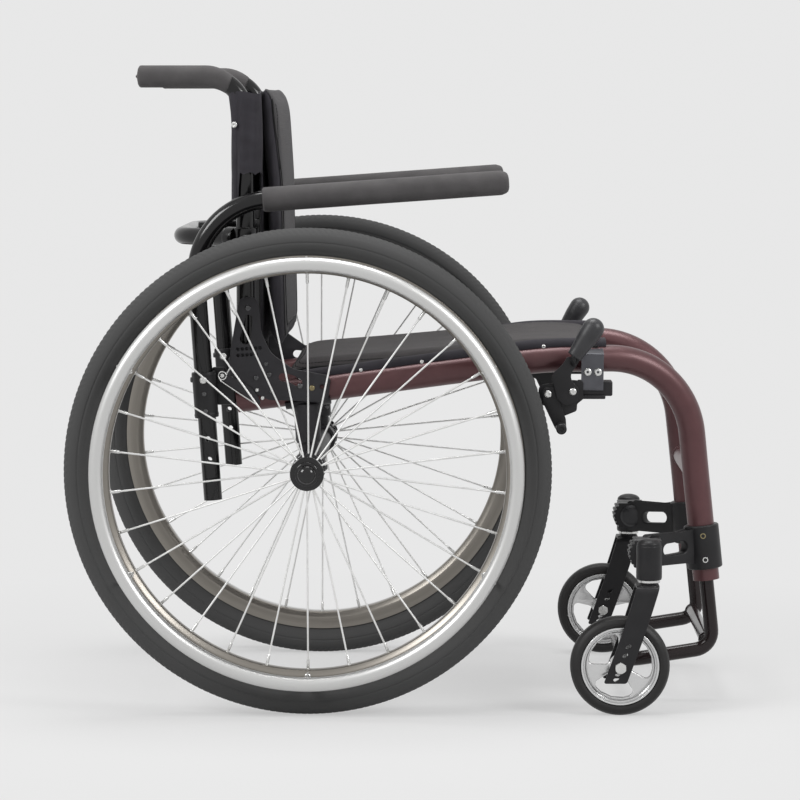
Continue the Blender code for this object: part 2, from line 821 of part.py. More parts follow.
def armrest_tube(side, sign, paint):
    """Bent armrest tube with height holes near its foot."""
    tube = pipe(arm_path(sign), ARM_TUBE_RADIUS, SLIM_SIDES)
    holes = []
    for rise in ARM_HOLES:
        middle = arm_axis_point(ARM_FOOT_Z + rise, sign)
        reach = Vector((0, 2 * ARM_TUBE_RADIUS, 0))
        holes.append(rod(middle - reach, middle + reach, ARM_HOLE_RADIUS, sides=8))
    tube = cut(tube, *holes)
    pivot = arm_axis_point(RECEIVER_BOTTOM_Z, sign)
    return named(centred(smooth(tube), pivot), side + "_armrest_tube", paint)


def armrest_pad(side, sign, foam):
    """Round foam pad on the upper run of the armrest."""
    rise = Vector((math.cos(ARM_RISE), 0, math.sin(ARM_RISE)))
    start = Vector((ARM_PAD_START_X, sign * ARM_Y, arm_level_z(ARM_PAD_START_X)))
    end = Vector((ARM_PAD_END_X, sign * ARM_Y, arm_level_z(ARM_PAD_END_X)))
    length = (end - start).length
    profile = [(0.0, length + 0.006), (ARM_PAD_RADIUS * 0.30, length + 0.006),
               (ARM_PAD_RADIUS * 0.72, length + 0.003), (ARM_PAD_RADIUS, length - 0.006),
               (ARM_PAD_RADIUS, 0.003), (ARM_PAD_RADIUS - 0.003, 0.0), (0.0, 0.0)]
    pad = turned(profile, SLIM_SIDES, start, rise)
    pad = cut(pad, pipe(longer(arm_path(sign), CLEARANCE), around(ARM_TUBE_RADIUS, CLEARANCE, SLIM_SIDES),
                        SLIM_SIDES))
    pad = keep_largest(pad)
    return named(centred(smooth(pad), arm_axis_point(RECEIVER_BOTTOM_Z, sign)), side + "_armrest_pad", foam)


def armrest_receiver(side, sign, metal):
    """Sleeve for the armrest post, webbed to a spigot in the rear end of the seat tube."""
    path = frame_path(sign)
    along = (path[1] - path[0]).normalized()
    spigot = rod(path[0] - along * 0.012, path[0] + along * (BORE_DEPTH_REAR - 0.005),
                 TUBE_RADIUS - TUBE_WALL - 2 * CLEARANCE, sides=TUBE_SIDES)
    low = arm_axis_point(RECEIVER_BOTTOM_Z, sign)
    high = arm_axis_point(RECEIVER_TOP_Z, sign)
    sleeve = rod(low, high, ARM_TUBE_RADIUS + RECEIVER_WALL, sides=TUBE_SIDES)
    front_x = FRAME_REAR_X - 0.0005
    rear_x = low.x - 0.004
    inner_y = SEAT_TUBE_Y - TUBE_RADIUS + 0.002
    outer_y = SEAT_TUBE_Y + TUBE_RADIUS
    web = block(((front_x + rear_x) / 2, sign * (inner_y + outer_y) / 2, (WEB_LOW_Z + WEB_HIGH_Z) / 2),
                (front_x - rear_x, outer_y - inner_y, WEB_HIGH_Z - WEB_LOW_Z), 0.003)
    web = cut(web, frame_sleeve(sign, CLEARANCE))
    lug = block(((LATCH_X + rear_x) / 2, sign * (outer_y - 0.004), (WEB_HIGH_Z + LATCH_Z) / 2),
                (LATCH_X + LATCH_EYE_RADIUS - rear_x, 0.008, LATCH_Z - WEB_HIGH_Z + 0.016), 0.002)
    pin_y = sign * (outer_y - 0.004)
    eye = Vector((LATCH_X, pin_y, LATCH_Z))
    pin = rod(eye, eye + Vector((0, sign * 0.0125, 0)), LATCH_PIN_RADIUS, sides=PIN_SIDES)
    receiver = join(web, spigot, sleeve, lug, pin)
    ends = [arm_axis_point(RECEIVER_BOTTOM_Z - 0.01, sign), arm_axis_point(RECEIVER_TOP_Z + 0.01, sign)]
    bore = pipe(ends, around(ARM_TUBE_RADIUS, RUNNING_GAP, TUBE_SIDES), TUBE_SIDES)
    return named(smooth(cut(receiver, bore)), side + "_armrest_receiver", metal)


def latch_lever(side, sign, steel):
    """Leaf lever that turns on a pin behind the bracket plate and latches the backrest."""
    ahead = Vector((LATCH_TIP_X - LATCH_X, LATCH_TIP_Z - LATCH_Z))
    along = ahead.normalized()
    across = Vector((-along.y, along.x))
    eye = Vector((LATCH_X, LATCH_Z))
    length = ahead.length
    shape = ((0.16, LATCH_EYE_RADIUS * 0.9), (0.35, LATCH_WIDTH * 0.8),
             (0.65, LATCH_WIDTH), (0.88, LATCH_WIDTH * 0.6))
    outline = [eye - across * LATCH_EYE_RADIUS * 0.9]
    tip = eye + ahead
    outline.append(tip - across * 0.002)
    outline.append(tip + along * 0.0015)
    outline.append(tip + across * 0.002)
    outline.extend(eye + along * length * share + across * width for share, width in reversed(shape))
    first = math.atan2(across.y, across.x)
    for i in range(9):
        angle = first + math.pi * (i + 0.5) / 9
        outline.append(eye + LATCH_EYE_RADIUS * Vector((math.cos(angle), math.sin(angle))))
    hole = circle(eye.x, eye.y, around(LATCH_PIN_RADIUS, RUNNING_GAP, PIN_SIDES), PIN_SIDES)
    y = sign * (plate_y() + PLATE_THICKNESS / 2 + 0.0010 + LATCH_PLATE / 2)
    lever = plate([(p.x, p.y) for p in outline], [hole], LATCH_PLATE, y)
    return named(centred(lever, (LATCH_X, sign * SEAT_TUBE_Y, LATCH_Z)), side + "_latch_lever", steel)


def plate_y():
    """Distance of a bracket plate's middle from the chair's centre plane."""
    return SEAT_TUBE_Y + TUBE_RADIUS + PLATE_GAP + PLATE_THICKNESS / 2


def bracket_point(ahead, above):
    """Place on the bracket plate, from the back's pivot."""
    return BACK_PIVOT_X + ahead, BACK_PIVOT_Z + above


def back_bracket(side, sign, metal):
    """Bracket plate with its slots and rows of holes, and the pin that the post turns on."""
    corners = []
    for x, z, radius in BRACKET_SHAPE:
        corners.append((BACK_PIVOT_X + BRACKET_LENGTH * x, BACK_PIVOT_Z + BRACKET_HEIGHT * z,
                        BRACKET_HEIGHT * radius))
    outline = rounded_outline(corners)
    long_x, long_z = bracket_point(*LONG_SLOT)
    curved_x, curved_z = bracket_point(*LOW_SLOT)
    long_end = (long_x + 0.1 * LONG_SLOT_LENGTH, long_z + LONG_SLOT_LENGTH)
    curved_end = (curved_x + LOW_SLOT_LENGTH, curved_z + LOW_SLOT_RISE)
    holes = [slot((long_x, long_z), long_end, LONG_SLOT_RADIUS),
             slot((curved_x, curved_z), curved_end, LOW_SLOT_RADIUS)]
    for count, start in zip(ROW_COUNTS, ROW_STARTS):
        first_x, first_z = bracket_point(*start)
        for i in range(count):
            holes.append(circle(first_x + ROW_STEP * i, first_z - ROW_FALL * i, ROW_HOLE_RADIUS, 6))
    end_x, end_z = bracket_point(*END_HOLE)
    holes.append(circle(end_x, end_z, END_HOLE_RADIUS))
    y = sign * plate_y()
    bracket = plate(outline, holes, PLATE_THICKNESS, y)
    axis = back_axis(sign)
    inner = Vector((BACK_PIVOT_X, sign * (POST_Y + POST_RADIUS + RUNNING_GAP), BACK_PIVOT_Z))
    seat = Vector((BACK_PIVOT_X, y, BACK_PIVOT_Z))
    tip = axis - Vector((0, sign * (POST_RADIUS + 0.002), 0))
    shoulder = rod(inner, seat, 1.7 * PIVOT_PIN_RADIUS, sides=PIN_SIDES)
    bracket = join(bracket, shoulder, rod(tip, seat, PIVOT_PIN_RADIUS, sides=PIN_SIDES))
    return named(smooth(bracket), side + "_back_bracket", metal)


def axle_stem(side, sign, metal):
    """Stem that hangs from the seat tube and clamps the camber tube."""
    top = seat_tube_z(STEM_X)
    centre_y = sign * SEAT_TUBE_Y
    clamp_top = top - STEM_SADDLE
    clamp_low = top - STEM_CLAMP_DROP
    saddle = block((STEM_X, centre_y, (clamp_top + clamp_low) / 2),
                   (STEM_CLAMP_LENGTH, STEM_CLAMP_WIDTH, clamp_top - clamp_low), 0.003)
    saddle = cut(saddle, frame_sleeve(sign, CLEARANCE))
    cone = rod((STEM_X, centre_y, clamp_low + 0.002), (STEM_X, centre_y, clamp_low - STEM_SLEEVE_LENGTH),
               STEM_TOP_RADIUS, STEM_LOW_RADIUS, TUBE_SIDES)
    stem = rod((STEM_X, centre_y, clamp_low - STEM_SLEEVE_LENGTH + 0.002), (0.0, centre_y, TYRE_RADIUS),
               STEM_LOW_RADIUS - 0.001, sides=TUBE_SIDES)
    half = Vector((0, STEM_RING_WIDTH / 2, 0))
    middle = Vector((0, centre_y, TYRE_RADIUS))
    ring = rod(middle - half, middle + half, CAMBER_TUBE_RADIUS + STEM_RING_WALL, sides=16)
    bore = rod(middle - half * 2, middle + half * 2, around(CAMBER_TUBE_RADIUS, CLEARANCE, 16), sides=16)
    return named(smooth(cut(join(saddle, cone, stem, ring), bore)), side + "_axle_stem", metal)


def camber_end():
    """Distance of the camber tube's end from the chair's centre plane."""
    return WHEEL_Y - HUB_INBOARD - RUNNING_GAP


def camber_tube(metal):
    """Tube across the chair that carries both axle pins."""
    right = (0, -camber_end(), TYRE_RADIUS)
    left = (0, camber_end(), TYRE_RADIUS)
    tube = rod(right, left, CAMBER_TUBE_RADIUS, sides=16)
    bores = [rod((0, sign * (camber_end() - AXLE_INSERT - 0.002), TYRE_RADIUS),
                 (0, sign * (camber_end() + 0.010), TYRE_RADIUS), around(AXLE_RADIUS, CLEARANCE, PIN_SIDES), sides=PIN_SIDES)
             for _, sign in SIDES]
    return named(smooth(cut(tube, *bores)), "camber_tube", metal)


def hub_point(sign, outboard=0.0):
    """Point of a rear axle, measured outboard of the wheel's plane."""
    return Vector((0, sign * (WHEEL_Y + outboard), TYRE_RADIUS))


def outward(sign):
    """Direction away from the chair on a side."""
    return Vector((0, sign, 0))


def axle_pin(side, sign, steel):
    """Quick release axle: a pin through the hub into the camber tube, with a round head."""
    inner = camber_end() - AXLE_INSERT
    head = HUB_OUTBOARD + RUNNING_GAP
    bore = around(BUTTON_STEM_RADIUS, RUNNING_GAP, TUBE_SIDES)
    top = head + AXLE_HEAD_LENGTH
    profile = [(0.0, head - BUTTON_STEM_LENGTH), (bore, head - BUTTON_STEM_LENGTH), (bore, top),
               (AXLE_HEAD_RADIUS - 0.001, top), (AXLE_HEAD_RADIUS, top - 0.001), (AXLE_HEAD_RADIUS, head),
               (AXLE_RADIUS, head), (AXLE_RADIUS, inner - WHEEL_Y), (0.0, inner - WHEEL_Y)]
    pin = turned(profile, TUBE_SIDES, hub_point(sign), outward(sign))
    return named(smooth(pin), side + "_axle_pin", steel)


def axle_button(side, sign, plastic):
    """Domed push button at the end of the quick release axle."""
    base = HUB_OUTBOARD + RUNNING_GAP + AXLE_HEAD_LENGTH + BUTTON_TRAVEL + CLEARANCE
    dome = [(BUTTON_RADIUS * math.sin(a), base + BUTTON_LENGTH * (0.35 + 0.65 * math.cos(a)))
            for a in (math.radians(90) * i / 4 for i in range(5))]
    foot = HUB_OUTBOARD + RUNNING_GAP + BUTTON_TRAVEL + RUNNING_GAP - BUTTON_STEM_LENGTH
    profile = dome + [(BUTTON_RADIUS, base), (BUTTON_STEM_RADIUS, base), (BUTTON_STEM_RADIUS, foot),
                      (0.0, foot)]
    button = turned(profile, TUBE_SIDES, hub_point(sign), outward(sign))
    return named(centred(smooth(button), hub_point(sign)), side + "_axle_button", plastic)


def hub_and_spokes(side, sign, metal):
    """Hub with two flanges and its wire spokes, laid straight out to the rim in turn."""
    bore = around(AXLE_RADIUS, RUNNING_GAP, 14)
    outer = HUB_OUTBOARD
    inner = -HUB_INBOARD
    thick = HUB_FLANGE_THICKNESS
    profile = [(bore, outer), (HUB_FLANGE_RADIUS - 0.002, outer), (HUB_FLANGE_RADIUS, outer - 0.001),
               (HUB_FLANGE_RADIUS, outer - thick), (HUB_BODY_RADIUS, outer - thick - 0.002),
               (HUB_BODY_RADIUS, inner + 2 * thick), (HUB_FLANGE_RADIUS, inner + 2 * thick - 0.001),
               (HUB_FLANGE_RADIUS, inner + thick), (HUB_BODY_RADIUS, inner + thick - 0.001),
               (HUB_BODY_RADIUS, inner), (bore, inner)]
    hub = turned(profile, 14, hub_point(sign), outward(sign), closed=True)
    flanges = (outer - thick / 2 - 0.0005, inner + 1.6 * thick)
    reach = (RIM_RADIUS - RIM_DEPTH) * math.cos(math.pi / WHEEL_STEPS) - CLEARANCE
    work = bmesh.new()
    for i in range(SPOKES):
        angle = 2 * math.pi * i / SPOKES
        radial = Vector((math.sin(angle), 0, -math.cos(angle)))
        start = hub_point(sign, flanges[i % 2]) + radial * SPOKE_ROOT
        end = hub_point(sign) + radial * reach
        place = Matrix.Translation((start + end) / 2) @ toward(end - start)
        bmesh.ops.create_cone(work, cap_ends=True, segments=3, radius1=SPOKE_DIAMETER / 2,
                              radius2=SPOKE_DIAMETER / 2, depth=(end - start).length, matrix=place)
    mesh = bpy.data.meshes.new("spokes")
    work.to_mesh(mesh)
    work.free()
    wheel = join(hub, new_object(mesh))
    return named(centred(smooth(wheel), hub_point(sign)), side + "_hub_and_spokes", metal)


def rim(side, sign, metal):
    """Rim with a well for the tyre between two flanges."""
    half = RIM_WIDTH / 2
    inner = RIM_RADIUS - RIM_DEPTH
    well = RIM_RADIUS - RIM_WELL
    profile = [(RIM_RADIUS, half - RIM_WALL), (RIM_RADIUS, half), (inner + RIM_TAPER, half),
               (inner, half - RIM_TAPER), (inner, RIM_TAPER - half), (inner + RIM_TAPER, -half),
               (RIM_RADIUS, -half), (RIM_RADIUS, RIM_WALL - half), (well, RIM_WALL - half),
               (well, half - RIM_WALL)]
    ring = turned(profile, WHEEL_STEPS, hub_point(sign), outward(sign), closed=True)
    return named(centred(smooth(ring), hub_point(sign)), side + "_rim", metal)


def tyre(side, sign, rubber):
    """Tyre whose foot sits in the rim's well and whose tread is round."""
    half = TYRE_WIDTH / 2
    foot = RIM_WIDTH / 2 - RIM_WALL - CLEARANCE
    low = RIM_RADIUS - RIM_WELL + 2 * CLEARANCE
    depth = TYRE_RADIUS - RIM_RADIUS
    upper = [(TYRE_RADIUS, 0.0), (TYRE_RADIUS - 0.12 * depth, 0.62 * half),
             (TYRE_RADIUS - 0.50 * depth, half), (RIM_RADIUS + CLEARANCE, foot), (low, foot)]
    lower = [(radius, -height) for radius, height in reversed(upper[1:])]
    ring = turned(upper + lower, WHEEL_STEPS, hub_point(sign), outward(sign), closed=True)
    return named(centred(smooth(ring, 50), hub_point(sign)), side + "_tyre", rubber)


def handrim(side, sign, metal):
    """Round handrim on tabs that stand off the rim's outer face."""
    tube = HANDRIM_TUBE / 2
    turns = [2 * math.pi * i / 8 for i in range(8)]
    profile = [(HANDRIM_RADIUS + tube * math.cos(a), HANDRIM_OFFSET + tube * math.sin(a)) for a in turns]
    ring = turned(profile, WHEEL_STEPS, hub_point(sign), outward(sign), closed=True)
    near = RIM_WIDTH / 2 + CLEARANCE
    far = HANDRIM_OFFSET - tube * 0.7
    low = -HANDRIM_RADIUS - TAB_THICKNESS
    outline = ((near, low), (far, low), (far, low + TAB_THICKNESS),
               (near + TAB_THICKNESS, low + TAB_THICKNESS),
               (near + TAB_THICKNESS, low + TAB_FOOT), (near, low + TAB_FOOT))
    tabs = []
    for i in range(HANDRIM_TABS):
        tab = plate([(sign * x, z) for x, z in outline], [], TAB_WIDTH, 0.0)
        across = Matrix.Rotation(math.pi / 2, 4, "Z")
        turn = Matrix.Rotation(2 * math.pi * i / HANDRIM_TABS, 4, "Y") @ across
        tab.data.transform(Matrix.Translation(hub_point(sign)) @ turn)
        tabs.append(tab)
    ring = join(ring, *tabs)
    return named(centred(smooth(ring), hub_point(sign)), side + "_handrim", metal)


def caster_arm(side, sign, metal):
    """Slotted arm with a clamp round the down tube and a toothed boss beside the housing."""
    low = down_tube_point(ARM_CLAMP_RISE, sign)
    high = down_tube_point(ARM_CLAMP_RISE + ARM_CLAMP_HEIGHT, sign)
    clamp = rod(low, high, TUBE_RADIUS + ARM_CLAMP_WALL)
    boss = Vector((CASTER_AXIS_X, sign * BOSS_Y, CASTER_ARM_Z))
    centre = low.lerp(high, 0.5)
    run = Vector((centre.x - boss.x, centre.y - boss.y))
    length = run.length
    tall = CASTER_ARM_HEIGHT / 2
    corners = ((0.0, tall, 0), (length * 0.55, tall, 0.02), (length, ARM_CLAMP_HEIGHT * 0.45, 0),
               (length, -ARM_CLAMP_HEIGHT * 0.40, 0), (length * 0.62, -tall, 0.02), (0.0, -tall, 0))
    window = slot((ARM_SLOT_START, 0.0), (ARM_SLOT_START + ARM_SLOT_LENGTH, 0.001), ARM_SLOT_RADIUS)
    arm = plate(rounded_outline(corners), [window], CASTER_ARM_THICKNESS, 0.0)
    turn = Matrix.Rotation(math.atan2(run.y, run.x), 4, "Z")
    arm.data.transform(Matrix.Translation(boss) @ turn)
    disc = toothed_disc(boss, sign, -BOSS_THICKNESS / 2, BOSS_THICKNESS / 2)
    cap = rod(boss - outward(sign) * (BOSS_THICKNESS / 2 + 0.005), boss, BOSS_CAP_RADIUS)
    arm = join(arm, clamp, disc, cap)
    bolts = []
    for share in (0.28, 0.72):
        middle = low.lerp(high, share)
        bolts.append(rod(middle + outward(sign) * (TUBE_RADIUS + 0.002), middle + outward(sign) * 0.05,
                         ARM_BOLT_RADIUS, sides=8))
    arm = keep_largest(cut(arm, frame_sleeve(sign, CLEARANCE), *bolts))
    return named(smooth(arm), side + "_caster_arm", metal)


def toothed_disc(centre, sign, start, end):
    """Disc across Y with teeth round its edge, from start to end outboard of the centre."""
    count = 2 * BOSS_TEETH
    outline = []
    for i in range(count):
        radius = BOSS_RADIUS - (i % 2) * BOSS_TOOTH
        angle = 2 * math.pi * i / count
        outline.append((centre.x + radius * math.cos(angle), centre.z + radius * math.sin(angle)))
    return plate(outline, [], abs(end - start), centre.y + sign * (start + end) / 2)


def caster_housing(side, sign, metal):
    """Upright barrel with a domed top, bored for the fork stem, on its toothed flange."""
    dome = [(BARREL_RADIUS * math.sin(a), BARREL_TOP_Z + BARREL_DOME * math.cos(a))
            for a in (math.radians(90) * i / 3 for i in range(4))]
    profile = dome + [(BARREL_RADIUS, BARREL_BOTTOM_Z + 0.001), (BARREL_RADIUS - 0.001, BARREL_BOTTOM_Z),
                      (0.0, BARREL_BOTTOM_Z)]
    base = Vector((CASTER_AXIS_X, sign * CASTER_Y, 0))
    barrel = turned(profile, TUBE_SIDES, base, (0, 0, 1))
    boss = Vector((CASTER_AXIS_X, sign * BOSS_Y, CASTER_ARM_Z))
    reach = CASTER_Y - BARREL_RADIUS - BOSS_Y
    flange = toothed_disc(boss, sign, BOSS_THICKNESS / 2 + CLEARANCE, reach - 0.003)
    neck_z = (BARREL_BOTTOM_Z + BARREL_TOP_Z) / 2 + 0.004
    neck = block((CASTER_AXIS_X, sign * (CASTER_Y - BARREL_RADIUS), neck_z),
                 (0.0235, 0.0121, BARREL_TOP_Z - BARREL_BOTTOM_Z - 0.0147), 0.002)
    bore = rod(base + Vector((0, 0, BARREL_BOTTOM_Z - 0.01)), base + Vector((0, 0, BARREL_TOP_Z - 0.004)),
               around(FORK_STEM_RADIUS, RUNNING_GAP, PIN_SIDES), sides=PIN_SIDES)
    return named(smooth(cut(join(barrel, flange, neck), bore)), side + "_caster_housing", metal)


def caster_axle_point(sign):
    """Middle of a caster's wheel."""
    return Vector((CASTER_AXIS_X - CASTER_TRAIL, sign * CASTER_Y, CASTER_RADIUS))


def fork_blank(sign):
    """Bent strip of the fork, seen from the front as an upside-down U."""
    inside = FORK_INSIDE / 2
    outside = inside + FORK_PLATE
    foot = caster_axle_point(sign).z - FORK_FOOT
    corners = ((-outside, foot, 0), (-outside, FORK_TOP_Z, 0.008),
               (outside, FORK_TOP_Z, 0.008), (outside, foot, 0),
               (inside, foot, 0), (inside, FORK_TOP_Z - FORK_PLATE, 0.004),
               (-inside, FORK_TOP_Z - FORK_PLATE, 0.004), (-inside, foot, 0))
    strip = plate(rounded_outline(corners, math.radians(45)), [], 0.2, 0.0)
    strip.data.transform(Matrix.Translation((CASTER_AXIS_X, sign * CASTER_Y, 0))
                         @ Matrix.Rotation(math.radians(90), 4, "Z"))
    return strip


def caster_fork(side, sign, metal):
    """Fork bent from plate, its legs swept back to the axle, with a stem on top."""
    axle = caster_axle_point(sign)
    knee = Vector((CASTER_AXIS_X - FORK_KNEE_BACK, FORK_KNEE_Z))
    lean = (knee.x - axle.x) / (knee.y - axle.z)
    foot_z = axle.z - FORK_FOOT
    foot_x = axle.x - FORK_FOOT * lean
    half = FORK_LEG_WIDTH / 2
    top_x = CASTER_AXIS_X - 0.002
    corners = ((foot_x - half, foot_z, 0.003), (foot_x + half, foot_z, 0.003),
               (knee.x + half, knee.y, 0.03), (top_x + half + 0.001, FORK_TOP_Z, 0),
               (top_x - half, FORK_TOP_Z, 0), (knee.x - half, knee.y, 0.03))
    slots = []
    for away in FORK_SLOTS:
        x = axle.x + away * lean
        z = axle.z + away
        slots.append(slot((x - 0.0008, z - 0.002), (x + 0.0008, z + 0.002), 0.0022, 2))
    slots.append(circle(axle.x, axle.z, around(CASTER_AXLE_RADIUS, CLEARANCE, PIN_SIDES), PIN_SIDES))
    sheet = plate(rounded_outline(corners), slots, 0.08, sign * CASTER_Y)
    fork = combine(fork_blank(sign), [sheet], "INTERSECT")
    base = Vector((CASTER_AXIS_X, sign * CASTER_Y, 0))
    stem = rod(base + Vector((0, 0, FORK_TOP_Z - 0.002)), base + Vector((0, 0, BARREL_TOP_Z - 0.006)),
               FORK_STEM_RADIUS, sides=PIN_SIDES)
    low = base + Vector((0, 0, FORK_TOP_Z - 0.001))
    high = base + Vector((0, 0, BARREL_BOTTOM_Z - CLEARANCE))
    washer = rod(low, high, FORK_WASHER_RADIUS, sides=14)
    fork = join(fork, stem, washer)
    return named(centred(smooth(fork), base), side + "_caster_fork", metal)


def caster_axle(side, sign, steel):
    """Hexagon bolt and nut through the fork and the caster's hub."""
    axle = caster_axle_point(sign)
    half = outward(sign) * (FORK_INSIDE / 2 + FORK_PLATE + CLEARANCE)
    head = outward(sign) * 0.0045
    bolt = rod(axle - half - head, axle + half + head * 0.5, CASTER_AXLE_RADIUS, sides=PIN_SIDES)
    bolt = join(bolt, rod(axle + half, axle + half + head, 0.0078, sides=6),
                rod(axle - half - head, axle - half, 0.0078, sides=6))
    return named(centred(smooth(bolt), axle), side + "_caster_axle", steel)


def caster_wheel(side, sign, metal):
    """Caster rim with broad spokes and a hub."""
    axle = caster_axle_point(sign)
    outer = CASTER_RADIUS - CASTER_TYRE_DEPTH
    inner = outer - CASTER_RIM_DEPTH
    half = CASTER_RIM_WIDTH / 2
    profile = [(outer, half), (outer, -half), (inner, -half * 0.6), (inner, half * 0.6)]
    wheel = turned(profile, CASTER_STEPS, axle, outward(sign), closed=True)
    hub_half = FORK_INSIDE / 2 - 2 * RUNNING_GAP
    reach = outward(sign) * hub_half
    hub = rod(axle - reach, axle + reach, CASTER_HUB_RADIUS, sides=14)
    spokes = []
    for i in range(CASTER_SPOKES):
        outline = [(-0.010, 0.008), (0.010, 0.008), (0.0135, inner + 0.003), (-0.0135, inner + 0.003)]
        blade = plate(outline, [], CASTER_SPOKE_THICKNESS, 0.0)
        turn = Matrix.Rotation(2 * math.pi * i / CASTER_SPOKES, 4, "Y")
        blade.data.transform(Matrix.Translation(axle) @ turn)
        spokes.append(blade)
    wheel = join(wheel, hub, *spokes)
    reach = outward(sign) * FORK_INSIDE
    bore = around(CASTER_AXLE_RADIUS, RUNNING_GAP, PIN_SIDES)
    wheel = cut(wheel, rod(axle - reach, axle + reach, bore, sides=PIN_SIDES))
    return named(centred(smooth(wheel), axle), side + "_caster_wheel", metal)


def caster_tyre(side, sign, rubber):
    """Solid caster tyre with a round tread."""
    inner = CASTER_RADIUS - CASTER_TYRE_DEPTH + CLEARANCE
    half = CASTER_TYRE_WIDTH / 2
    depth = CASTER_TYRE_DEPTH
    turns = [math.radians(180) * i / 4 for i in range(5)]
    profile = [(CASTER_RADIUS - depth * 0.72 * (1 - math.sin(a) ** 0.8), half * math.cos(a)) for a in turns]
    profile.extend([(inner, -half * 0.80), (inner, half * 0.80)])
    ring = turned(profile, CASTER_STEPS, caster_axle_point(sign), outward(sign), closed=True)
    return named(centred(smooth(ring, 50), caster_axle_point(sign)), side + "_caster_tyre", rubber)


def frame_y_at(x):
    """Distance of the seat tube's centre line from the chair's centre plane at x."""
    path = frame_path(1)
    for start, end in zip(path, path[1:]):
        if start.x <= x <= end.x:
            return start.lerp(end, (x - start.x) / (end.x - start.x))
    return path[0]


def lock_mount(side, sign, metal):
    """Clamp on the seat tube and the slide bar that carries the wheel lock."""
    tube = frame_y_at(LOCK_CLAMP_X)
    outer = tube.y + TUBE_RADIUS + LOCK_CLAMP_WALL
    inner = tube.y - TUBE_RADIUS - LOCK_CLAMP_WALL
    high = tube.z + TUBE_RADIUS - LOCK_CLAMP_OPEN
    low = LOCK_BAR_Z - LOCK_BAR_HEIGHT / 2 + 0.004
    clamp = block((LOCK_CLAMP_X, sign * (outer + inner) / 2, (high + low) / 2),
                  (LOCK_CLAMP_LENGTH, outer - inner, high - low), 0.002)
    bar_outer = LOCK_PLATE_Y - LOCK_PLATE / 2 - CLEARANCE
    bar_inner = outer - 0.004
    bar = block((LOCK_CLAMP_X, sign * (bar_outer + bar_inner) / 2, LOCK_BAR_Z),
                (LOCK_BAR_LENGTH, bar_outer - bar_inner, LOCK_BAR_HEIGHT), 0.0015)
    mount = keep_largest(cut(join(clamp, bar), frame_sleeve(sign, CLEARANCE)))
    return named(smooth(mount), side + "_lock_mount", metal)


def lock_plate(side, sign, metal):
    """Plate on the slide bar, with the pins that the lever and the shoe arm turn on."""
    corners = ((SHOE_PIVOT_X - LOCK_MARGIN, SHOE_PIVOT_Z + 0.011, 0.008),
               (SHOE_PIVOT_X - LOCK_MARGIN, SHOE_PIVOT_Z - LOCK_MARGIN, 0.008),
               (LEVER_PIVOT_X + LOCK_MARGIN, LEVER_PIVOT_Z - 0.015, 0.006),
               (LOCK_CLAMP_X + 0.010, LOCK_BAR_Z - 0.45 * LOCK_BAR_HEIGHT, 0.003),
               (LOCK_CLAMP_X + 0.010, LOCK_BAR_Z + 0.45 * LOCK_BAR_HEIGHT, 0.003),
               (LEVER_PIVOT_X, LEVER_PIVOT_Z + 0.014, 0.008))
    y = LOCK_PLATE_Y
    base = plate(rounded_outline(corners), [], LOCK_PLATE, sign * y)
    pins = []
    for x, z, reach in ((LEVER_PIVOT_X, LEVER_PIVOT_Z, lever_y() + LOCK_PLATE),
                        (SHOE_PIVOT_X, SHOE_PIVOT_Z, shoe_y() + LOCK_PLATE)):
        pins.append(rod((x, sign * y, z), (x, sign * reach, z), LOCK_PIN_RADIUS, sides=PIN_SIDES))
    return named(smooth(join(base, *pins)), side + "_lock_plate", metal)


def shoe_y():
    """Distance of the shoe arm's middle from the chair's centre plane."""
    return LOCK_PLATE_Y + LOCK_PLATE + RUNNING_GAP


def lever_y():
    """Distance of the lock lever's middle from the chair's centre plane."""
    return shoe_y() + LOCK_PLATE + RUNNING_GAP


def lock_lever(side, sign, metal):
    """Cranked hand lever with a rod for its grip."""
    neck = Vector((LEVER_PIVOT_X + LEVER_NECK_AHEAD, LEVER_PIVOT_Z + LEVER_NECK_UP))
    corners = ((LEVER_PIVOT_X + LOCK_MARGIN, LEVER_PIVOT_Z - 0.010, 0.008),
               (LEVER_PIVOT_X + 0.010, LEVER_PIVOT_Z + 0.020, 0.02),
               (neck.x + 0.008, neck.y + 0.002, 0.003), (neck.x - 0.008, neck.y + 0.004, 0.003),
               (LEVER_PIVOT_X - 0.016, LEVER_PIVOT_Z + 0.026, 0.015),
               (LEVER_PIVOT_X - 0.020, LEVER_PIVOT_Z + 0.002, 0.008),
               (LEVER_PIVOT_X - 0.006, LEVER_PIVOT_Z - 0.016, 0.008))
    hole = circle(LEVER_PIVOT_X, LEVER_PIVOT_Z, around(LOCK_PIN_RADIUS, RUNNING_GAP, PIN_SIDES), PIN_SIDES)
    lever = plate(rounded_outline(corners), [hole], LOCK_PLATE, sign * lever_y())
    start, along = lever_grip_line(sign)
    foot = Vector((neck.x, sign * lever_y(), neck.y - 0.004))
    shank = rod(foot, start + along * 0.004, LEVER_ROD_RADIUS, sides=PIN_SIDES)
    pin = rod(start, start + along * LEVER_GRIP_LENGTH * 0.6, LEVER_ROD_RADIUS, sides=PIN_SIDES)
    pivot = (LEVER_PIVOT_X, sign * lever_y(), LEVER_PIVOT_Z)
    return named(centred(smooth(join(lever, shank, pin)), pivot), side + "_lock_lever", metal)


def lever_grip_line(sign):
    """Start of the lever's grip and the direction in which it leans."""
    start = Vector((LEVER_PIVOT_X + LEVER_NECK_AHEAD, sign * (lever_y() + LEVER_GRIP_OUT),
                    LEVER_PIVOT_Z + LEVER_NECK_UP + 0.004))
    return start, Vector((math.sin(LEVER_LEAN), 0, math.cos(LEVER_LEAN)))


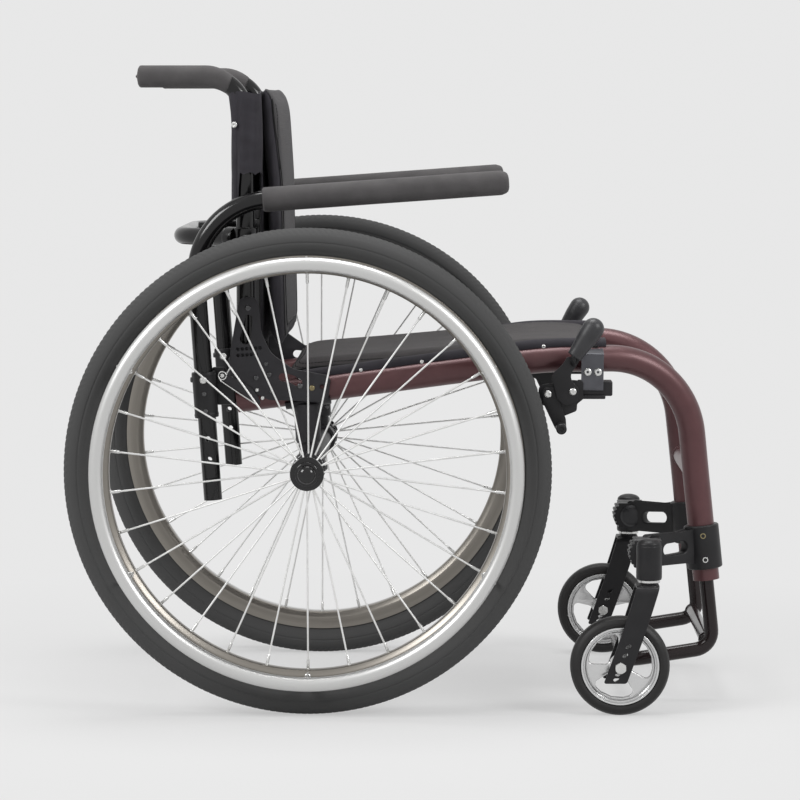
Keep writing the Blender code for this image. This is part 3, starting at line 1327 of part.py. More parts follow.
def lever_grip(side, sign, rubber):
    """Flared rubber grip with a round end."""
    start, along = lever_grip_line(sign)
    length = LEVER_GRIP_LENGTH
    big = LEVER_GRIP_RADIUS
    turns = [math.pi / 2 * i / 3 for i in range(4)]
    profile = [(big * math.sin(a), length - big + big * math.cos(a)) for a in turns]
    profile += [(big * 0.93, length * 0.45), (big * 0.72, length * 0.18), (big * 0.68, 0.006), (0.0, 0.006)]
    grip = turned(profile, SLIM_SIDES, start, along)
    bore = rod(start - along * 0.01, start + along * (LEVER_GRIP_LENGTH * 0.6 + CLEARANCE),
               around(LEVER_ROD_RADIUS, CLEARANCE, PIN_SIDES), sides=PIN_SIDES)
    pivot = (LEVER_PIVOT_X, sign * lever_y(), LEVER_PIVOT_Z)
    return named(centred(smooth(cut(grip, bore), 50), pivot), side + "_lever_grip", rubber)


def shoe_arm(side, sign, metal):
    """Arm that swings back and presses its roller on the tyre."""
    corners = ((SHOE_PIVOT_X + 0.009, SHOE_PIVOT_Z + 0.008, 0.006),
               (SHOE_PIVOT_X - 0.008, SHOE_PIVOT_Z + 0.008, 0.006),
               (SHOE_PIVOT_X - 0.006, SHOE_PIVOT_Z - LOCK_MARGIN, 0.008),
               (SHOE_X - 0.0065, SHOE_Z - 0.004, 0.004),
               (SHOE_X + 0.0055, SHOE_Z - 0.006, 0.004), (SHOE_X + 0.0065, SHOE_Z + 0.010, 0.006))
    hole = circle(SHOE_PIVOT_X, SHOE_PIVOT_Z, around(LOCK_PIN_RADIUS, RUNNING_GAP, PIN_SIDES), PIN_SIDES)
    arm = plate(rounded_outline(corners), [hole], LOCK_PLATE, sign * shoe_y())
    start = shoe_y() + LOCK_PLATE / 2 + 0.001
    inner = Vector((SHOE_X, sign * start, SHOE_Z))
    ahead = Vector((0, sign, 0))
    foot = Vector((SHOE_X, sign * shoe_y(), SHOE_Z))
    bolt = rod(foot, inner + 0.002 * ahead, SHOE_BOLT_RADIUS, sides=PIN_SIDES)
    roller = rod(inner, inner + SHOE_WIDTH * ahead, SHOE_RADIUS, sides=14)
    arm = join(arm, bolt, roller)
    pivot = (SHOE_PIVOT_X, sign * shoe_y(), SHOE_PIVOT_Z)
    return named(centred(smooth(arm), pivot), side + "_shoe_arm", metal)


def footrest(paint):
    """Tubular loop whose two legs slide in the down tubes, with a bar across its front."""
    def leg(sign, height):
        return down_tube_point(height, sign)

    elbow_height = FOOT_ELBOW_Z - DOWN_TUBE_Z
    right = leg(-1, elbow_height)
    left = leg(1, elbow_height)
    drop = (right.x - FOOT_REAR_X) * math.tan(FOOT_SLOPE)
    corners = (leg(-1, LEG_INSERT), right, (FOOT_REAR_X, right.y, right.z - drop),
               (FOOT_REAR_X, left.y, left.z - drop), left, leg(1, LEG_INSERT))
    loop = pipe(rounded_path(corners, [FOOT_BEND_RADIUS] * 4, math.radians(30)), LEG_RADIUS, SLIM_SIDES)
    lift = Vector((-FOOT_BEND_RADIUS * 0.35, 0, FOOT_BEND_RADIUS * 0.35))
    cross = rod(right + lift, left + lift, FOOT_BAR_RADIUS, sides=PIN_SIDES)
    rest = join(loop, cross)
    return named(centred(smooth(rest), (DOWN_TUBE_X, 0, DOWN_TUBE_Z)), "footrest", paint)


def centre_chair():
    """Shift the chair so that the origin is on the floor in the middle of its length."""
    bpy.context.view_layer.update()
    ahead = [(obj.matrix_world @ Vector(corner)).x for obj in PARTS.objects if obj.type == "MESH"
             for corner in obj.bound_box]
    CHAIR.location.x = -(min(ahead) + max(ahead)) / 2


def main():
    start_scene()
    maroon = finish("maroon paint", (0.105, 0.028, 0.036), 0.42, 0.55)
    black = finish("black paint", (0.012, 0.012, 0.013), 0.28)
    dark = finish("dark anodised metal", (0.022, 0.022, 0.026), 0.45, 0.6)
    silver = finish("satin aluminium", (0.55, 0.55, 0.54), 0.32, 1.0)
    bronze = finish("brushed rim", (0.33, 0.30, 0.26), 0.38, 1.0)
    steel = finish("bright steel", (0.62, 0.62, 0.62), 0.22, 1.0)
    rubber = finish("tyre rubber", (0.022, 0.022, 0.024), 0.75)
    foam = finish("foam", (0.075, 0.074, 0.072), 0.95)
    fabric = finish("seat fabric", (0.045, 0.042, 0.045), 0.9)
    plastic = finish("black plastic", (0.010, 0.010, 0.011), 0.2)
    for side, sign in SIDES:
        side_frame(side, sign, maroon)
        seat_rail(side, sign, plastic)
        back_bracket(side, sign, dark)
        armrest_receiver(side, sign, dark)
        latch_lever(side, sign, steel)
        axle_stem(side, sign, dark)
        axle_pin(side, sign, steel)
        axle_button(side, sign, plastic)
        hub_and_spokes(side, sign, steel)
        rim(side, sign, bronze)
        tyre(side, sign, rubber)
        handrim(side, sign, silver)
        caster_arm(side, sign, dark)
        caster_housing(side, sign, dark)
        caster_fork(side, sign, black)
        caster_axle(side, sign, steel)
        caster_wheel(side, sign, silver)
        caster_tyre(side, sign, rubber)
        lock_mount(side, sign, dark)
        lock_plate(side, sign, black)
        lock_lever(side, sign, black)
        lever_grip(side, sign, rubber)
        shoe_arm(side, sign, black)
        armrest_tube(side, sign, black)
        armrest_pad(side, sign, foam)
        back_post(side, sign, black)
        push_grip(side, sign, foam)
    cross_tube(maroon)
    camber_tube(dark)
    seat_sling(fabric)
    back_upholstery(fabric)
    stabiliser_bar(black)
    footrest(black)
    centre_chair()


main()
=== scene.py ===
"""Looks of an active wheelchair with a rigid open frame, on a pale studio floor.

Metres, +Z up, +X forward. Shapes are worked out ahead of the rear axle, on the floor, and
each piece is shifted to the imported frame's axle when it is made.
"""

import logging
import math
from collections.abc import Callable, Sequence
from dataclasses import dataclass
from enum import Enum

import bmesh
import bpy
import numpy as np
from mathutils import Matrix, Vector
from mathutils.bvhtree import BVHTree

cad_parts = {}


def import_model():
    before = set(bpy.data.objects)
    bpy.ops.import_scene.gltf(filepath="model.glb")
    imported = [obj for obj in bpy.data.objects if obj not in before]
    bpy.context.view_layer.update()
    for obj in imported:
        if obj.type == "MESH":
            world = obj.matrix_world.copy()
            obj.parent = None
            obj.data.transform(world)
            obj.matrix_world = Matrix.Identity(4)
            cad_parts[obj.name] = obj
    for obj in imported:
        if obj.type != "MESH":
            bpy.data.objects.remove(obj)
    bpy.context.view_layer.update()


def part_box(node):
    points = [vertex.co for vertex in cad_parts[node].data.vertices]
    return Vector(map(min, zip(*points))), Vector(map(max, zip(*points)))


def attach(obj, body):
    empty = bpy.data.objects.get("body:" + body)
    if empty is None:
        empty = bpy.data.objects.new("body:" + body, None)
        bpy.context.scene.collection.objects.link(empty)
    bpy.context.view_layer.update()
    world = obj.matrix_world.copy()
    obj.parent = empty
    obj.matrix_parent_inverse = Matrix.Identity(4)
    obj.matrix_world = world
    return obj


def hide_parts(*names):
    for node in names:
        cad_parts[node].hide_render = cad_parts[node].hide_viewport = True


log = logging.getLogger("wheelchair")
Array = np.ndarray
Socket = bpy.types.NodeSocket
UP = np.array((0.0, 0.0, 1.0))
LEFT = np.array((0.0, 1.0, 0.0))
AHEAD = np.array((1.0, 0.0, 0.0))
FULL_TURN = 2.0 * math.pi
QUARTER_TURN = math.pi / 2

# Lines that several sub-assemblies share: both side frames' and both armrests', with Y on the left
SEAT_TUBE_Y = 0.190
SEAT_TUBE_ENDS = ((-0.092, 0.392), (0.300, 0.4444))
FRONT_BEND = (0.478, 0.150, 0.442)
RAIL_RISE = 0.018
DOWN_FOOT = (0.5083, 0.1375, 0.156)
DOWN_LEAN = math.tan(math.radians(6.0))
ARM_FOOT = (-0.121, 0.267)
ARM_Y = 0.218
ARM_LEAN = math.radians(4.1)


class Side(Enum):
    """The two sides of the chair, with the sign of their Y."""

    RIGHT = -1
    LEFT = 1

    @property
    def label(self) -> str:
        """The word that starts the names of this side's nodes."""
        return self.name.lower()

    @property
    def outward(self) -> Array:
        """Unit vector that points away from the chair on this side."""
        return self.value * LEFT


# Surfaces


def unit(vectors: Array) -> Array:
    """Vectors of length one along the last axis."""
    return vectors / np.linalg.norm(vectors, axis=-1, keepdims=True)


def spin(vectors: Array, axis: Array, angles: Array) -> Array:
    """Vectors turned about an axis, one copy for each angle.

    Args:
        vectors: one vector, or one for each angle.
        axis: unit vector to turn about.
        angles: turns in radians, by the right-hand rule.
    Returns:
        One row for each angle: the part along the axis stays, the rest turns by cosine and sine.
    """
    angles = np.asarray(angles, float)[..., None]
    along = np.sum(vectors * axis, axis=-1, keepdims=True) * axis
    flat = vectors - along
    return along + flat * np.cos(angles) + np.cross(axis, flat) * np.sin(angles)


def bent(corners: Sequence, radii: Sequence[float], step: float = 0.09) -> Array:
    """Straight runs between corners, joined by arcs.

    Args:
        corners: points of two or three numbers.
        radii: radius of the arc at each inner corner; 0 keeps it sharp.
        step: greatest turn between two points of an arc, in radians.
    Returns:
        The path's points, one in each row. An arc's centre lies on the corner's bisector.
    """
    points = [np.array([*corner, 0.0][:3], float) for corner in corners]
    path = [points[0][None]]
    for before, corner, after, radius in zip(points, points[1:], points[2:], radii):
        back = unit(before - corner)
        ahead = unit(after - corner)
        if radius <= 0.0:
            path.append(corner[None])
            continue
        half = math.acos(float(np.clip(back @ ahead, -1.0, 1.0))) / 2
        turn = math.pi - 2 * half
        if turn < 1e-4:
            path.append(corner[None])
            continue
        centre = corner + unit(back + ahead) * radius / math.sin(half)
        spoke = corner + back * radius / math.tan(half) - centre
        axis = unit(np.cross(ahead, back))
        count = max(2, math.ceil(turn / step))
        path.append(centre + spin(spoke, axis, np.linspace(0.0, turn, count + 1)))
    path.append(points[-1][None])
    joined = np.concatenate(path)
    return joined if len(corners[0]) == 3 else joined[:, :2]


def lengths(path: Array) -> Array:
    """Distance along a path at each of its points."""
    return np.concatenate(([0.0], np.cumsum(np.linalg.norm(np.diff(path, axis=0), axis=1))))


def resampled(path: Array, step: float) -> Array:
    """The same path with points at even distances of about one step."""
    along = lengths(path)
    count = max(2, math.ceil(along[-1] / step))
    wanted = np.linspace(0.0, along[-1], count + 1)
    return np.stack([np.interp(wanted, along, path[:, k]) for k in range(path.shape[1])], axis=1)


def headings(path: Array, closed: bool = False) -> Array:
    """Unit direction of travel at each point: towards the next point, away from the last."""
    if closed:
        return unit(np.roll(path, -1, axis=0) - np.roll(path, 1, axis=0))
    steps = unit(np.diff(path, axis=0))
    middle = unit(steps[1:] + steps[:-1])
    return np.concatenate((steps[:1], middle, steps[-1:]))


def even_turns(steps: int) -> Array:
    """Turns that share a circle evenly, from 0."""
    return np.arange(steps) * FULL_TURN / steps


def quarter_arc(radius: float, steps: int, height: float = 0.0, rise: float | None = None) -> Array:
    """Profile (radius, height) of a dome, from its pole down to its rim.

    Args:
        radius: radius of the rim.
        steps: number of points.
        height: height of the rim.
        rise: height of the pole above the rim; a ball's without it.
    """
    turns = np.linspace(0.0, QUARTER_TURN, steps)
    rise = radius if rise is None else rise
    return np.stack((radius * np.sin(turns), height + rise * np.cos(turns)), axis=1)


def ring(radius: float, sides: int) -> Array:
    """Circle of points across a path."""
    turns = even_turns(sides)
    return radius * np.stack((np.cos(turns), np.sin(turns)), axis=1)


def powered(values: Array, power: float) -> Array:
    """Power of the size of values that keep their sign; it squares up a round section."""
    return np.sign(values) * np.abs(values) ** power


def mirrored(corners: Sequence[tuple[float, float]]) -> list[tuple[float, float]]:
    """Corners (radius, height), and their reflection at height 0 in reverse."""
    return [*corners, *((radius, -height) for radius, height in reversed(corners))]


@dataclass
class Shell:
    """One surface: its points, its faces and the texture coordinates of their corners."""

    points: Array
    faces: list
    uvs: Array

    def moved(self, matrix: Matrix) -> "Shell":
        """The shell after a turn and a shift."""
        grid = np.array(matrix)
        return Shell(self.points @ grid[:3, :3].T + grid[:3, 3], self.faces, self.uvs)

    def shifted(self, x: float = 0.0, y: float = 0.0, z: float = 0.0) -> "Shell":
        """The shell moved by a distance."""
        return Shell(self.points + np.array((x, y, z)), self.faces, self.uvs)


def merged(*shells: Shell) -> Shell:
    """Several shells as one, their faces renumbered."""
    faces = []
    count = 0
    for shell in shells:
        faces.extend(tuple(corner + count for corner in face) for face in shell.faces)
        count += len(shell.points)
    return Shell(np.concatenate([s.points for s in shells]), faces, np.concatenate([s.uvs for s in shells]))


def grid_shell(points: Array, wrap_rows: bool = False) -> Shell:
    """Surface of a grid of points whose columns meet, with a flat cap at each end.

    Args:
        points: rows by columns by three.
        wrap_rows: the last row meets the first, without caps.
    Returns:
        A shell whose texture runs in metres, first along the rows and then round the columns.
    """
    rows, columns = points.shape[:2]
    i, j = np.meshgrid(np.arange(rows if wrap_rows else rows - 1), np.arange(columns), indexing="ij")
    next_row = (i + 1) % rows * columns
    next_column = (j + 1) % columns
    quads = np.stack((i * columns + j, i * columns + next_column, next_row + next_column, next_row + j), -1)
    down = np.diff(np.concatenate((points, points[:1])), axis=0)
    beside = np.diff(np.concatenate((points, points[:, :1]), axis=1), axis=1)
    u = np.concatenate(([0.0], np.cumsum(np.linalg.norm(down, axis=2).mean(axis=1))))
    v = np.concatenate(([0.0], np.cumsum(np.linalg.norm(beside, axis=2).max(axis=0))))
    along = np.stack((u[i], u[i], u[i + 1], u[i + 1]), -1)
    uvs = np.stack((along, np.stack((v[j], v[j + 1], v[j + 1], v[j]), -1)), -1).reshape(-1, 2)
    faces = [tuple(quad) for quad in quads.reshape(-1, 4).tolist()]
    if not wrap_rows:
        faces.extend((tuple(range(columns)), tuple(range((rows - 1) * columns, rows * columns))))
        uvs = np.concatenate((uvs, np.zeros((2 * columns, 2))))
    return Shell(points.reshape(-1, 3), faces, uvs)


def swept(path: Array, outline: Array, across: Array, closed: bool = False) -> Shell:
    """An outline carried along a path.

    Args:
        path: points of the centre line.
        outline: points across the path, or one such outline for each point of the path.
        across: vector that is nowhere along the path; it keeps the outline from twisting.
        closed: the path meets its own start.
    Returns:
        Shell whose row k is the outline laid on the plane across the path at point k.
    """
    ways = headings(path, closed)
    side = unit(np.cross(across, ways))
    rise = np.cross(ways, side)
    outline = np.broadcast_to(outline, (len(path), *outline.shape[-2:]))
    points = path[:, None] + outline[..., :1] * side[:, None] + outline[..., 1:] * rise[:, None]
    return grid_shell(points, wrap_rows=closed)


def tube(path: Array, radius: float, across: Array = LEFT, sides: int = 40, closed: bool = False) -> Shell:
    """Round bar along a path."""
    return swept(path, ring(radius, sides), across, closed)


def hollow(path: Array, radius: float, wall: float, across: Array = LEFT, sides: int = 48) -> Shell:
    """Tube with a wall: out along its outer face and back along its bore."""
    ways = headings(path)
    side = unit(np.cross(across, ways))
    circle = ring(1.0, sides)
    spokes = circle[:, :1] * side[:, None] + circle[:, 1:] * np.cross(ways, side)[:, None]
    bore = path[::-1, None] + (radius - wall) * spokes[::-1]
    return grid_shell(np.concatenate((path[:, None] + radius * spokes, bore)), wrap_rows=True)


def lobed(radii: Array, heights: Array, centre: Array, axis: Array, closed: bool = False) -> Shell:
    """Lathe shape whose radius may change with the turn.

    Args:
        radii: for each height, a row of radii round the axis.
        heights: heights along the axis, from one end of the profile to the other.
        centre: point of the axis at height 0.
        axis: direction in which height grows.
        closed: the profile meets its own start, as on a ring.
    Returns:
        Shell whose point is the centre, plus the height along the axis, plus the radius across it.
    """
    axis = unit(np.asarray(axis, float))
    across = unit(np.cross(axis, AHEAD if abs(axis @ AHEAD) < 0.9 else UP))
    spokes = spin(across, axis, even_turns(radii.shape[1]))
    points = centre + heights[:, None, None] * axis + radii[..., None] * spokes
    return grid_shell(points, wrap_rows=closed)


def lathe(profile: Array, centre: Array, axis: Array, steps: int = 64, closed: bool = False) -> Shell:
    """A profile of (radius, height) turned about an axis, in a number of steps."""
    return lobed(np.repeat(profile[:, :1], steps, axis=1), profile[:, 1], centre, axis, closed)


def turned(points: Sequence, radii: Sequence[float], centre: Array, axis: Array, steps: int = 64,
           closed: bool = False) -> Shell:
    """A lathe shape whose profile has its inner corners rounded."""
    return lathe(bent(points, radii, 0.35), centre, axis, steps, closed)


def rounded_block(centre: Sequence, size: Sequence, radius: float, steps: int = 4) -> Shell:
    """Box with round edges: a small ball cut in eight, its eighths pushed out to the corners.

    Args:
        centre: middle of the box.
        size: its three lengths.
        radius: radius of its edges.
        steps: points along each quarter of the ball.
    Returns:
        Shell whose point is the ball's normal times the radius, plus the sign of the normal
        times what is left of half the size.
    """
    small = 0.02
    quarter = np.linspace(small, QUARTER_TURN - small, steps)
    rises = np.concatenate((quarter - QUARTER_TURN, quarter))
    quarters = np.concatenate([quarter + k * QUARTER_TURN for k in range(4)])
    rise, turns = np.meshgrid(rises, quarters, indexing="ij")
    normals = np.stack((np.cos(rise) * np.cos(turns), np.cos(rise) * np.sin(turns), np.sin(rise)), -1)
    reach = np.asarray(size, float) / 2 - radius
    return grid_shell(normals * radius + np.sign(normals) * reach + np.asarray(centre))


def numbers(items: bpy.types.bpy_prop_collection, name: str, width: int = 3, kind: type = float) -> Array:
    """One property of a mesh's items, one row for each item, or a flat list where the width is 1."""
    values = np.empty(len(items) * width, kind)
    items.foreach_get(name, values)
    return values.reshape(-1, width) if width > 1 else values


def linked(name: str, data: bpy.types.ID) -> bpy.types.Object:
    """New object of the scene that shows the data."""
    obj = bpy.data.objects.new(name, data)
    bpy.context.scene.collection.objects.link(obj)
    return obj


def evaluated(obj: bpy.types.Object) -> bpy.types.Mesh:
    """Copy of an object's mesh as its modifiers leave it."""
    graph = bpy.context.evaluated_depsgraph_get()
    return bpy.data.meshes.new_from_object(obj.evaluated_get(graph))


def mesh_of(name: str, shell: Shell, mapped: bool = True) -> bpy.types.Mesh:
    """Mesh of a shell, its double points joined and its faces turned outward, with or without a texture map."""
    mesh = bpy.data.meshes.new(name)
    mesh.from_pydata(shell.points, [], shell.faces)
    if mapped:
        layer = mesh.uv_layers.new(name="UVMap")
        if len(shell.uvs) == len(mesh.loops):
            layer.uv.foreach_set("vector", shell.uvs.astype(np.float32).ravel())
    work = bmesh.new()
    work.from_mesh(mesh)
    bmesh.ops.remove_doubles(work, verts=work.verts, dist=1e-7)
    bmesh.ops.recalc_face_normals(work, faces=work.faces)
    work.to_mesh(mesh)
    work.free()
    return mesh


def plate(outline: Array, holes: Sequence[Array], thickness: float, edge: float = 0.0006) -> Shell:
    """Flat plate from an outline and holes, its rims rounded by a small bevel.

    Args:
        outline: points (x, z) round the plate.
        holes: such loops for its holes.
        thickness: thickness along Y.
        edge: radius of the rims.
    Returns:
        Shell with the plate's middle at Y 0.
    """
    curve = bpy.data.curves.new("outline", "CURVE")
    curve.dimensions = "2D"
    curve.fill_mode = "BOTH"
    curve.extrude = thickness / 2 - edge
    curve.bevel_depth = edge
    curve.bevel_resolution = 2
    curve.offset = -edge
    for loop in (outline, *holes):
        spline = curve.splines.new("POLY")
        spline.points.add(len(loop) - 1)
        flat = np.concatenate((loop, np.zeros((len(loop), 1)), np.ones((len(loop), 1))), axis=1)
        spline.points.foreach_set("co", flat.ravel())
        spline.use_cyclic_u = True
    obj = linked("outline", curve)
    mesh = evaluated(obj)
    bpy.data.objects.remove(obj)
    faces = [tuple(face.vertices) for face in mesh.polygons]
    shell = Shell(numbers(mesh.vertices, "co"), faces, np.zeros((len(mesh.loops), 2)))
    return shell.moved(Matrix.Rotation(QUARTER_TURN, 4, "X"))


def outlined(corners: Sequence, step: float = 0.2) -> Array:
    """Closed outline from corners given as (x, z, radius)."""
    start = (np.array(corners[0][:2]) + np.array(corners[-1][:2])) / 2
    path = bent([start, *[corner[:2] for corner in corners], start], [corner[2] for corner in corners], step)
    return path[:-1]


def round_hole(x: float, z: float, radius: float, sides: int = 20) -> Array:
    """Round hole in a plate."""
    return ring(radius, sides) + np.array((x, z))


def long_hole(start: Sequence, end: Sequence, radius: float, sides: int = 10) -> Array:
    """Slot with round ends between two points of a plate."""
    start = np.array(start, float)
    end = np.array(end, float)
    along = math.atan2(end[1] - start[1], end[0] - start[0])
    turns = np.linspace(-math.pi / 2, math.pi / 2, sides) + along
    cap = radius * np.stack((np.cos(turns), np.sin(turns)), axis=1)
    return np.concatenate((end + cap, start - cap))


def curved_hole(line: Array, radius: float) -> Array:
    """Slot of even width along a line of a plate, with round ends."""
    ways = headings(line)
    left = np.stack((-ways[:, 1], ways[:, 0]), axis=1)
    turns = np.linspace(-math.pi / 2, math.pi / 2, 11)[1:-1, None]
    end = line[-1] + radius * (np.cos(turns) * ways[-1] + np.sin(turns) * left[-1])
    start = line[0] - radius * (np.cos(turns) * ways[0] + np.sin(turns) * left[0])
    return np.concatenate((line - radius * left, end, (line + radius * left)[::-1], start))


def six_sided() -> Array:
    """Radius of a hexagon at each turn: its flat's distance over the cosine from the flat's middle."""
    flat = np.mod(even_turns(48), math.pi / 3) - math.pi / 6
    return math.cos(math.pi / 6) / np.cos(flat)


def hex_screw(centre: Array, axis: Array, radius: float, height: float) -> Shell:
    """Button head screw with a six-sided socket: rows of circles, and then of hexagons."""
    hexagon = six_sided()
    head = bent(((radius, 0.0), (radius, height * 0.55), (radius * 0.72, height), (radius * 0.38, height)),
                (height * 0.3, radius * 0.12), 0.3)
    rows = [np.full(len(hexagon), point[0]) for point in head]
    rows.extend((radius * 0.36 * hexagon, radius * 0.34 * hexagon))
    return lobed(np.array(rows), np.append(head[:, 1], (height * 0.96, height * 0.25)), centre, axis)


def hex_head(centre: Array, axis: Array, radius: float, height: float) -> Shell:
    """Six-sided bolt head with its corners turned off."""
    hexagon = radius * six_sided()
    rows = (hexagon, hexagon, np.minimum(hexagon, radius * 0.90), np.full(len(hexagon), radius * 0.55))
    return lobed(np.array(rows), height * np.array((0.0, 0.86, 1.0, 0.97)), centre, axis)


# Finishes


@dataclass
class Graph:
    """A node tree with short ways to add to it."""

    tree: bpy.types.NodeTree

    def node(self, kind: str, settings: dict | None = None, **inputs) -> bpy.types.Node:
        """A shader node with its settings made and its inputs linked or set.

        Args:
            kind: type name of the node, after its prefix.
            settings: values of the node's own properties.
            inputs: for each input, by its name with _ for a space, a socket to link or a value. A
                name that starts with i and a number picks the input by its place.
        """
        node = self.tree.nodes.new(f"ShaderNode{kind}")
        for key, value in (settings or {}).items():
            setattr(node, key, value)
        for key, value in inputs.items():
            place = int(key[1:]) if key[0] == "i" and key[1:].isdigit() else key.replace("_", " ")
            socket = node.inputs[place]
            if isinstance(value, Socket):
                self.tree.links.new(value, socket)
            else:
                socket.default_value = value
        return node

    def maths(self, operation: str, *values: Socket | float) -> Socket:
        """Result of a sum on sockets or numbers."""
        inputs = {f"i{place}": value for place, value in enumerate(values)}
        return self.node("Math", {"operation": operation}, **inputs).outputs[0]

    def product(self, first: Socket | float, second: Socket | float) -> Socket:
        """One value times another."""
        return self.maths("MULTIPLY", first, second)

    def blended(self, share: Socket, first: Socket | tuple, second: Socket | tuple) -> Socket:
        """Mix of two colours by a share."""
        return self.node("Mix", {"data_type": "RGBA"}, i0=share, i6=first, i7=second).outputs[2]

    def spanned(self, value: Socket, low: float, high: float, start: float = 0.0, end: float = 1.0) -> Socket:
        """Value carried from one range to another, and held at its ends."""
        node = self.node("MapRange", Value=value, From_Min=low, From_Max=high, To_Min=start, To_Max=end)
        return node.outputs[0]

    def noise(self, vector: Socket, scale: Socket | float, detail: float = 2.0,
              roughness: float = 0.5) -> Socket:
        """Value of a noise texture."""
        return self.node("TexNoise", Vector=vector, Scale=scale, Detail=detail, Roughness=roughness).outputs[0]


def grain(graph: Graph, vector: Socket, scale: Socket) -> tuple:
    """Fine bumps at one scale, with a broad stain for colour and gloss."""
    cells = graph.node("TexVoronoi", Vector=vector, Scale=scale)
    broad = graph.noise(vector, graph.product(scale, 0.045), 3.0)
    fine = graph.product(graph.noise(vector, scale, 4.0, 0.6), 0.7)
    return graph.maths("ADD", fine, graph.product(cells.outputs[0], 0.4)), graph.spanned(broad, 0.35, 0.65)


def brushed(graph: Graph, vector: Socket, scale: Socket) -> tuple:
    """Fine lines that run along the second axis of a texture map."""
    drawn = graph.node("VectorMath", {"operation": "MULTIPLY"}, i0=vector, i1=(1.0, 0.02, 0.0)).outputs[0]
    return graph.noise(drawn, scale, 3.0), graph.spanned(graph.noise(drawn, 60.0), 0.3, 0.7)


def weave(graph: Graph, vector: Socket, pitch: Socket) -> tuple:
    """Plain weave: each thread is a round ridge, over where the sum of both counts is even."""
    split = graph.node("SeparateXYZ", Vector=vector)
    counts = [graph.maths("DIVIDE", split.outputs[k], pitch) for k in range(2)]
    ridges = [graph.maths("ABSOLUTE", graph.maths("SINE", graph.product(count, math.pi))) for count in counts]
    whole = graph.maths("ADD", *[graph.maths("FLOOR", count) for count in counts])
    over = graph.maths("FLOORED_MODULO", whole, 2.0)
    under = graph.maths("SUBTRACT", 1.0, over)
    height = graph.maths("ADD", graph.product(ridges[0], over), graph.product(ridges[1], under))
    return height, graph.spanned(graph.noise(vector, 18.0, 4.0), 0.35, 0.65)


def dust(graph: Graph, vector: Socket, amount: Socket) -> tuple:
    """Faint dust on faces that look up, in soft patches."""
    normal = graph.node("NewGeometry").outputs["Normal"]
    top = graph.spanned(graph.node("SeparateXYZ", Vector=normal).outputs[2], 0.2, 1.0)
    spots = graph.spanned(graph.noise(vector, 30.0, 5.0, 0.65), 0.45, 0.75)
    return (graph.product(graph.product(top, spots), amount),)


def wear(graph: Graph, vector: Socket, amount: Socket) -> tuple:
    """Rubbed edges: sharp ridges of the mesh, broken up by a noise."""
    edges = graph.spanned(graph.node("NewGeometry").outputs["Pointiness"], 0.52, 0.62)
    broken = graph.spanned(graph.noise(vector, 260.0, 3.0), 0.4, 0.6)
    return (graph.product(graph.product(edges, broken), amount),)


# For each effect: its builder, its control with its default value, and its outputs
RELIEF = ("Height", "Stain")
EFFECTS: dict[str, tuple[Callable, str, float, tuple[str, ...]]] = {
    "grain": (grain, "Scale", 500.0, RELIEF),
    "brushed": (brushed, "Scale", 2500.0, RELIEF),
    "weave": (weave, "Pitch", 0.0015, RELIEF),
    "dust": (dust, "Amount", 0.1, ("Mask",)),
    "wear": (wear, "Amount", 0.3, ("Mask",)),
}


def effect_group(name: str) -> bpy.types.NodeTree:
    """Node group of an effect, built once, that the materials share."""
    if name in bpy.data.node_groups:
        return bpy.data.node_groups[name]
    build, control, default, outputs = EFFECTS[name]
    tree = bpy.data.node_groups.new(name, "ShaderNodeTree")
    tree.interface.new_socket("Vector", in_out="INPUT", socket_type="NodeSocketVector")
    tree.interface.new_socket(control, in_out="INPUT", socket_type="NodeSocketFloat").default_value = default
    for label in outputs:
        tree.interface.new_socket(label, in_out="OUTPUT", socket_type="NodeSocketFloat")
    start = tree.nodes.new("NodeGroupInput").outputs
    end = tree.nodes.new("NodeGroupOutput").inputs
    for label, result in zip(outputs, build(Graph(tree), start["Vector"], start[control])):
        tree.links.new(result, end[label])
    return tree


class Pattern(Enum):
    """Surface patterns that a finish can have, by the names of their effects."""

    GRAIN = "grain"
    BRUSHED = "brushed"
    WEAVE = "weave"


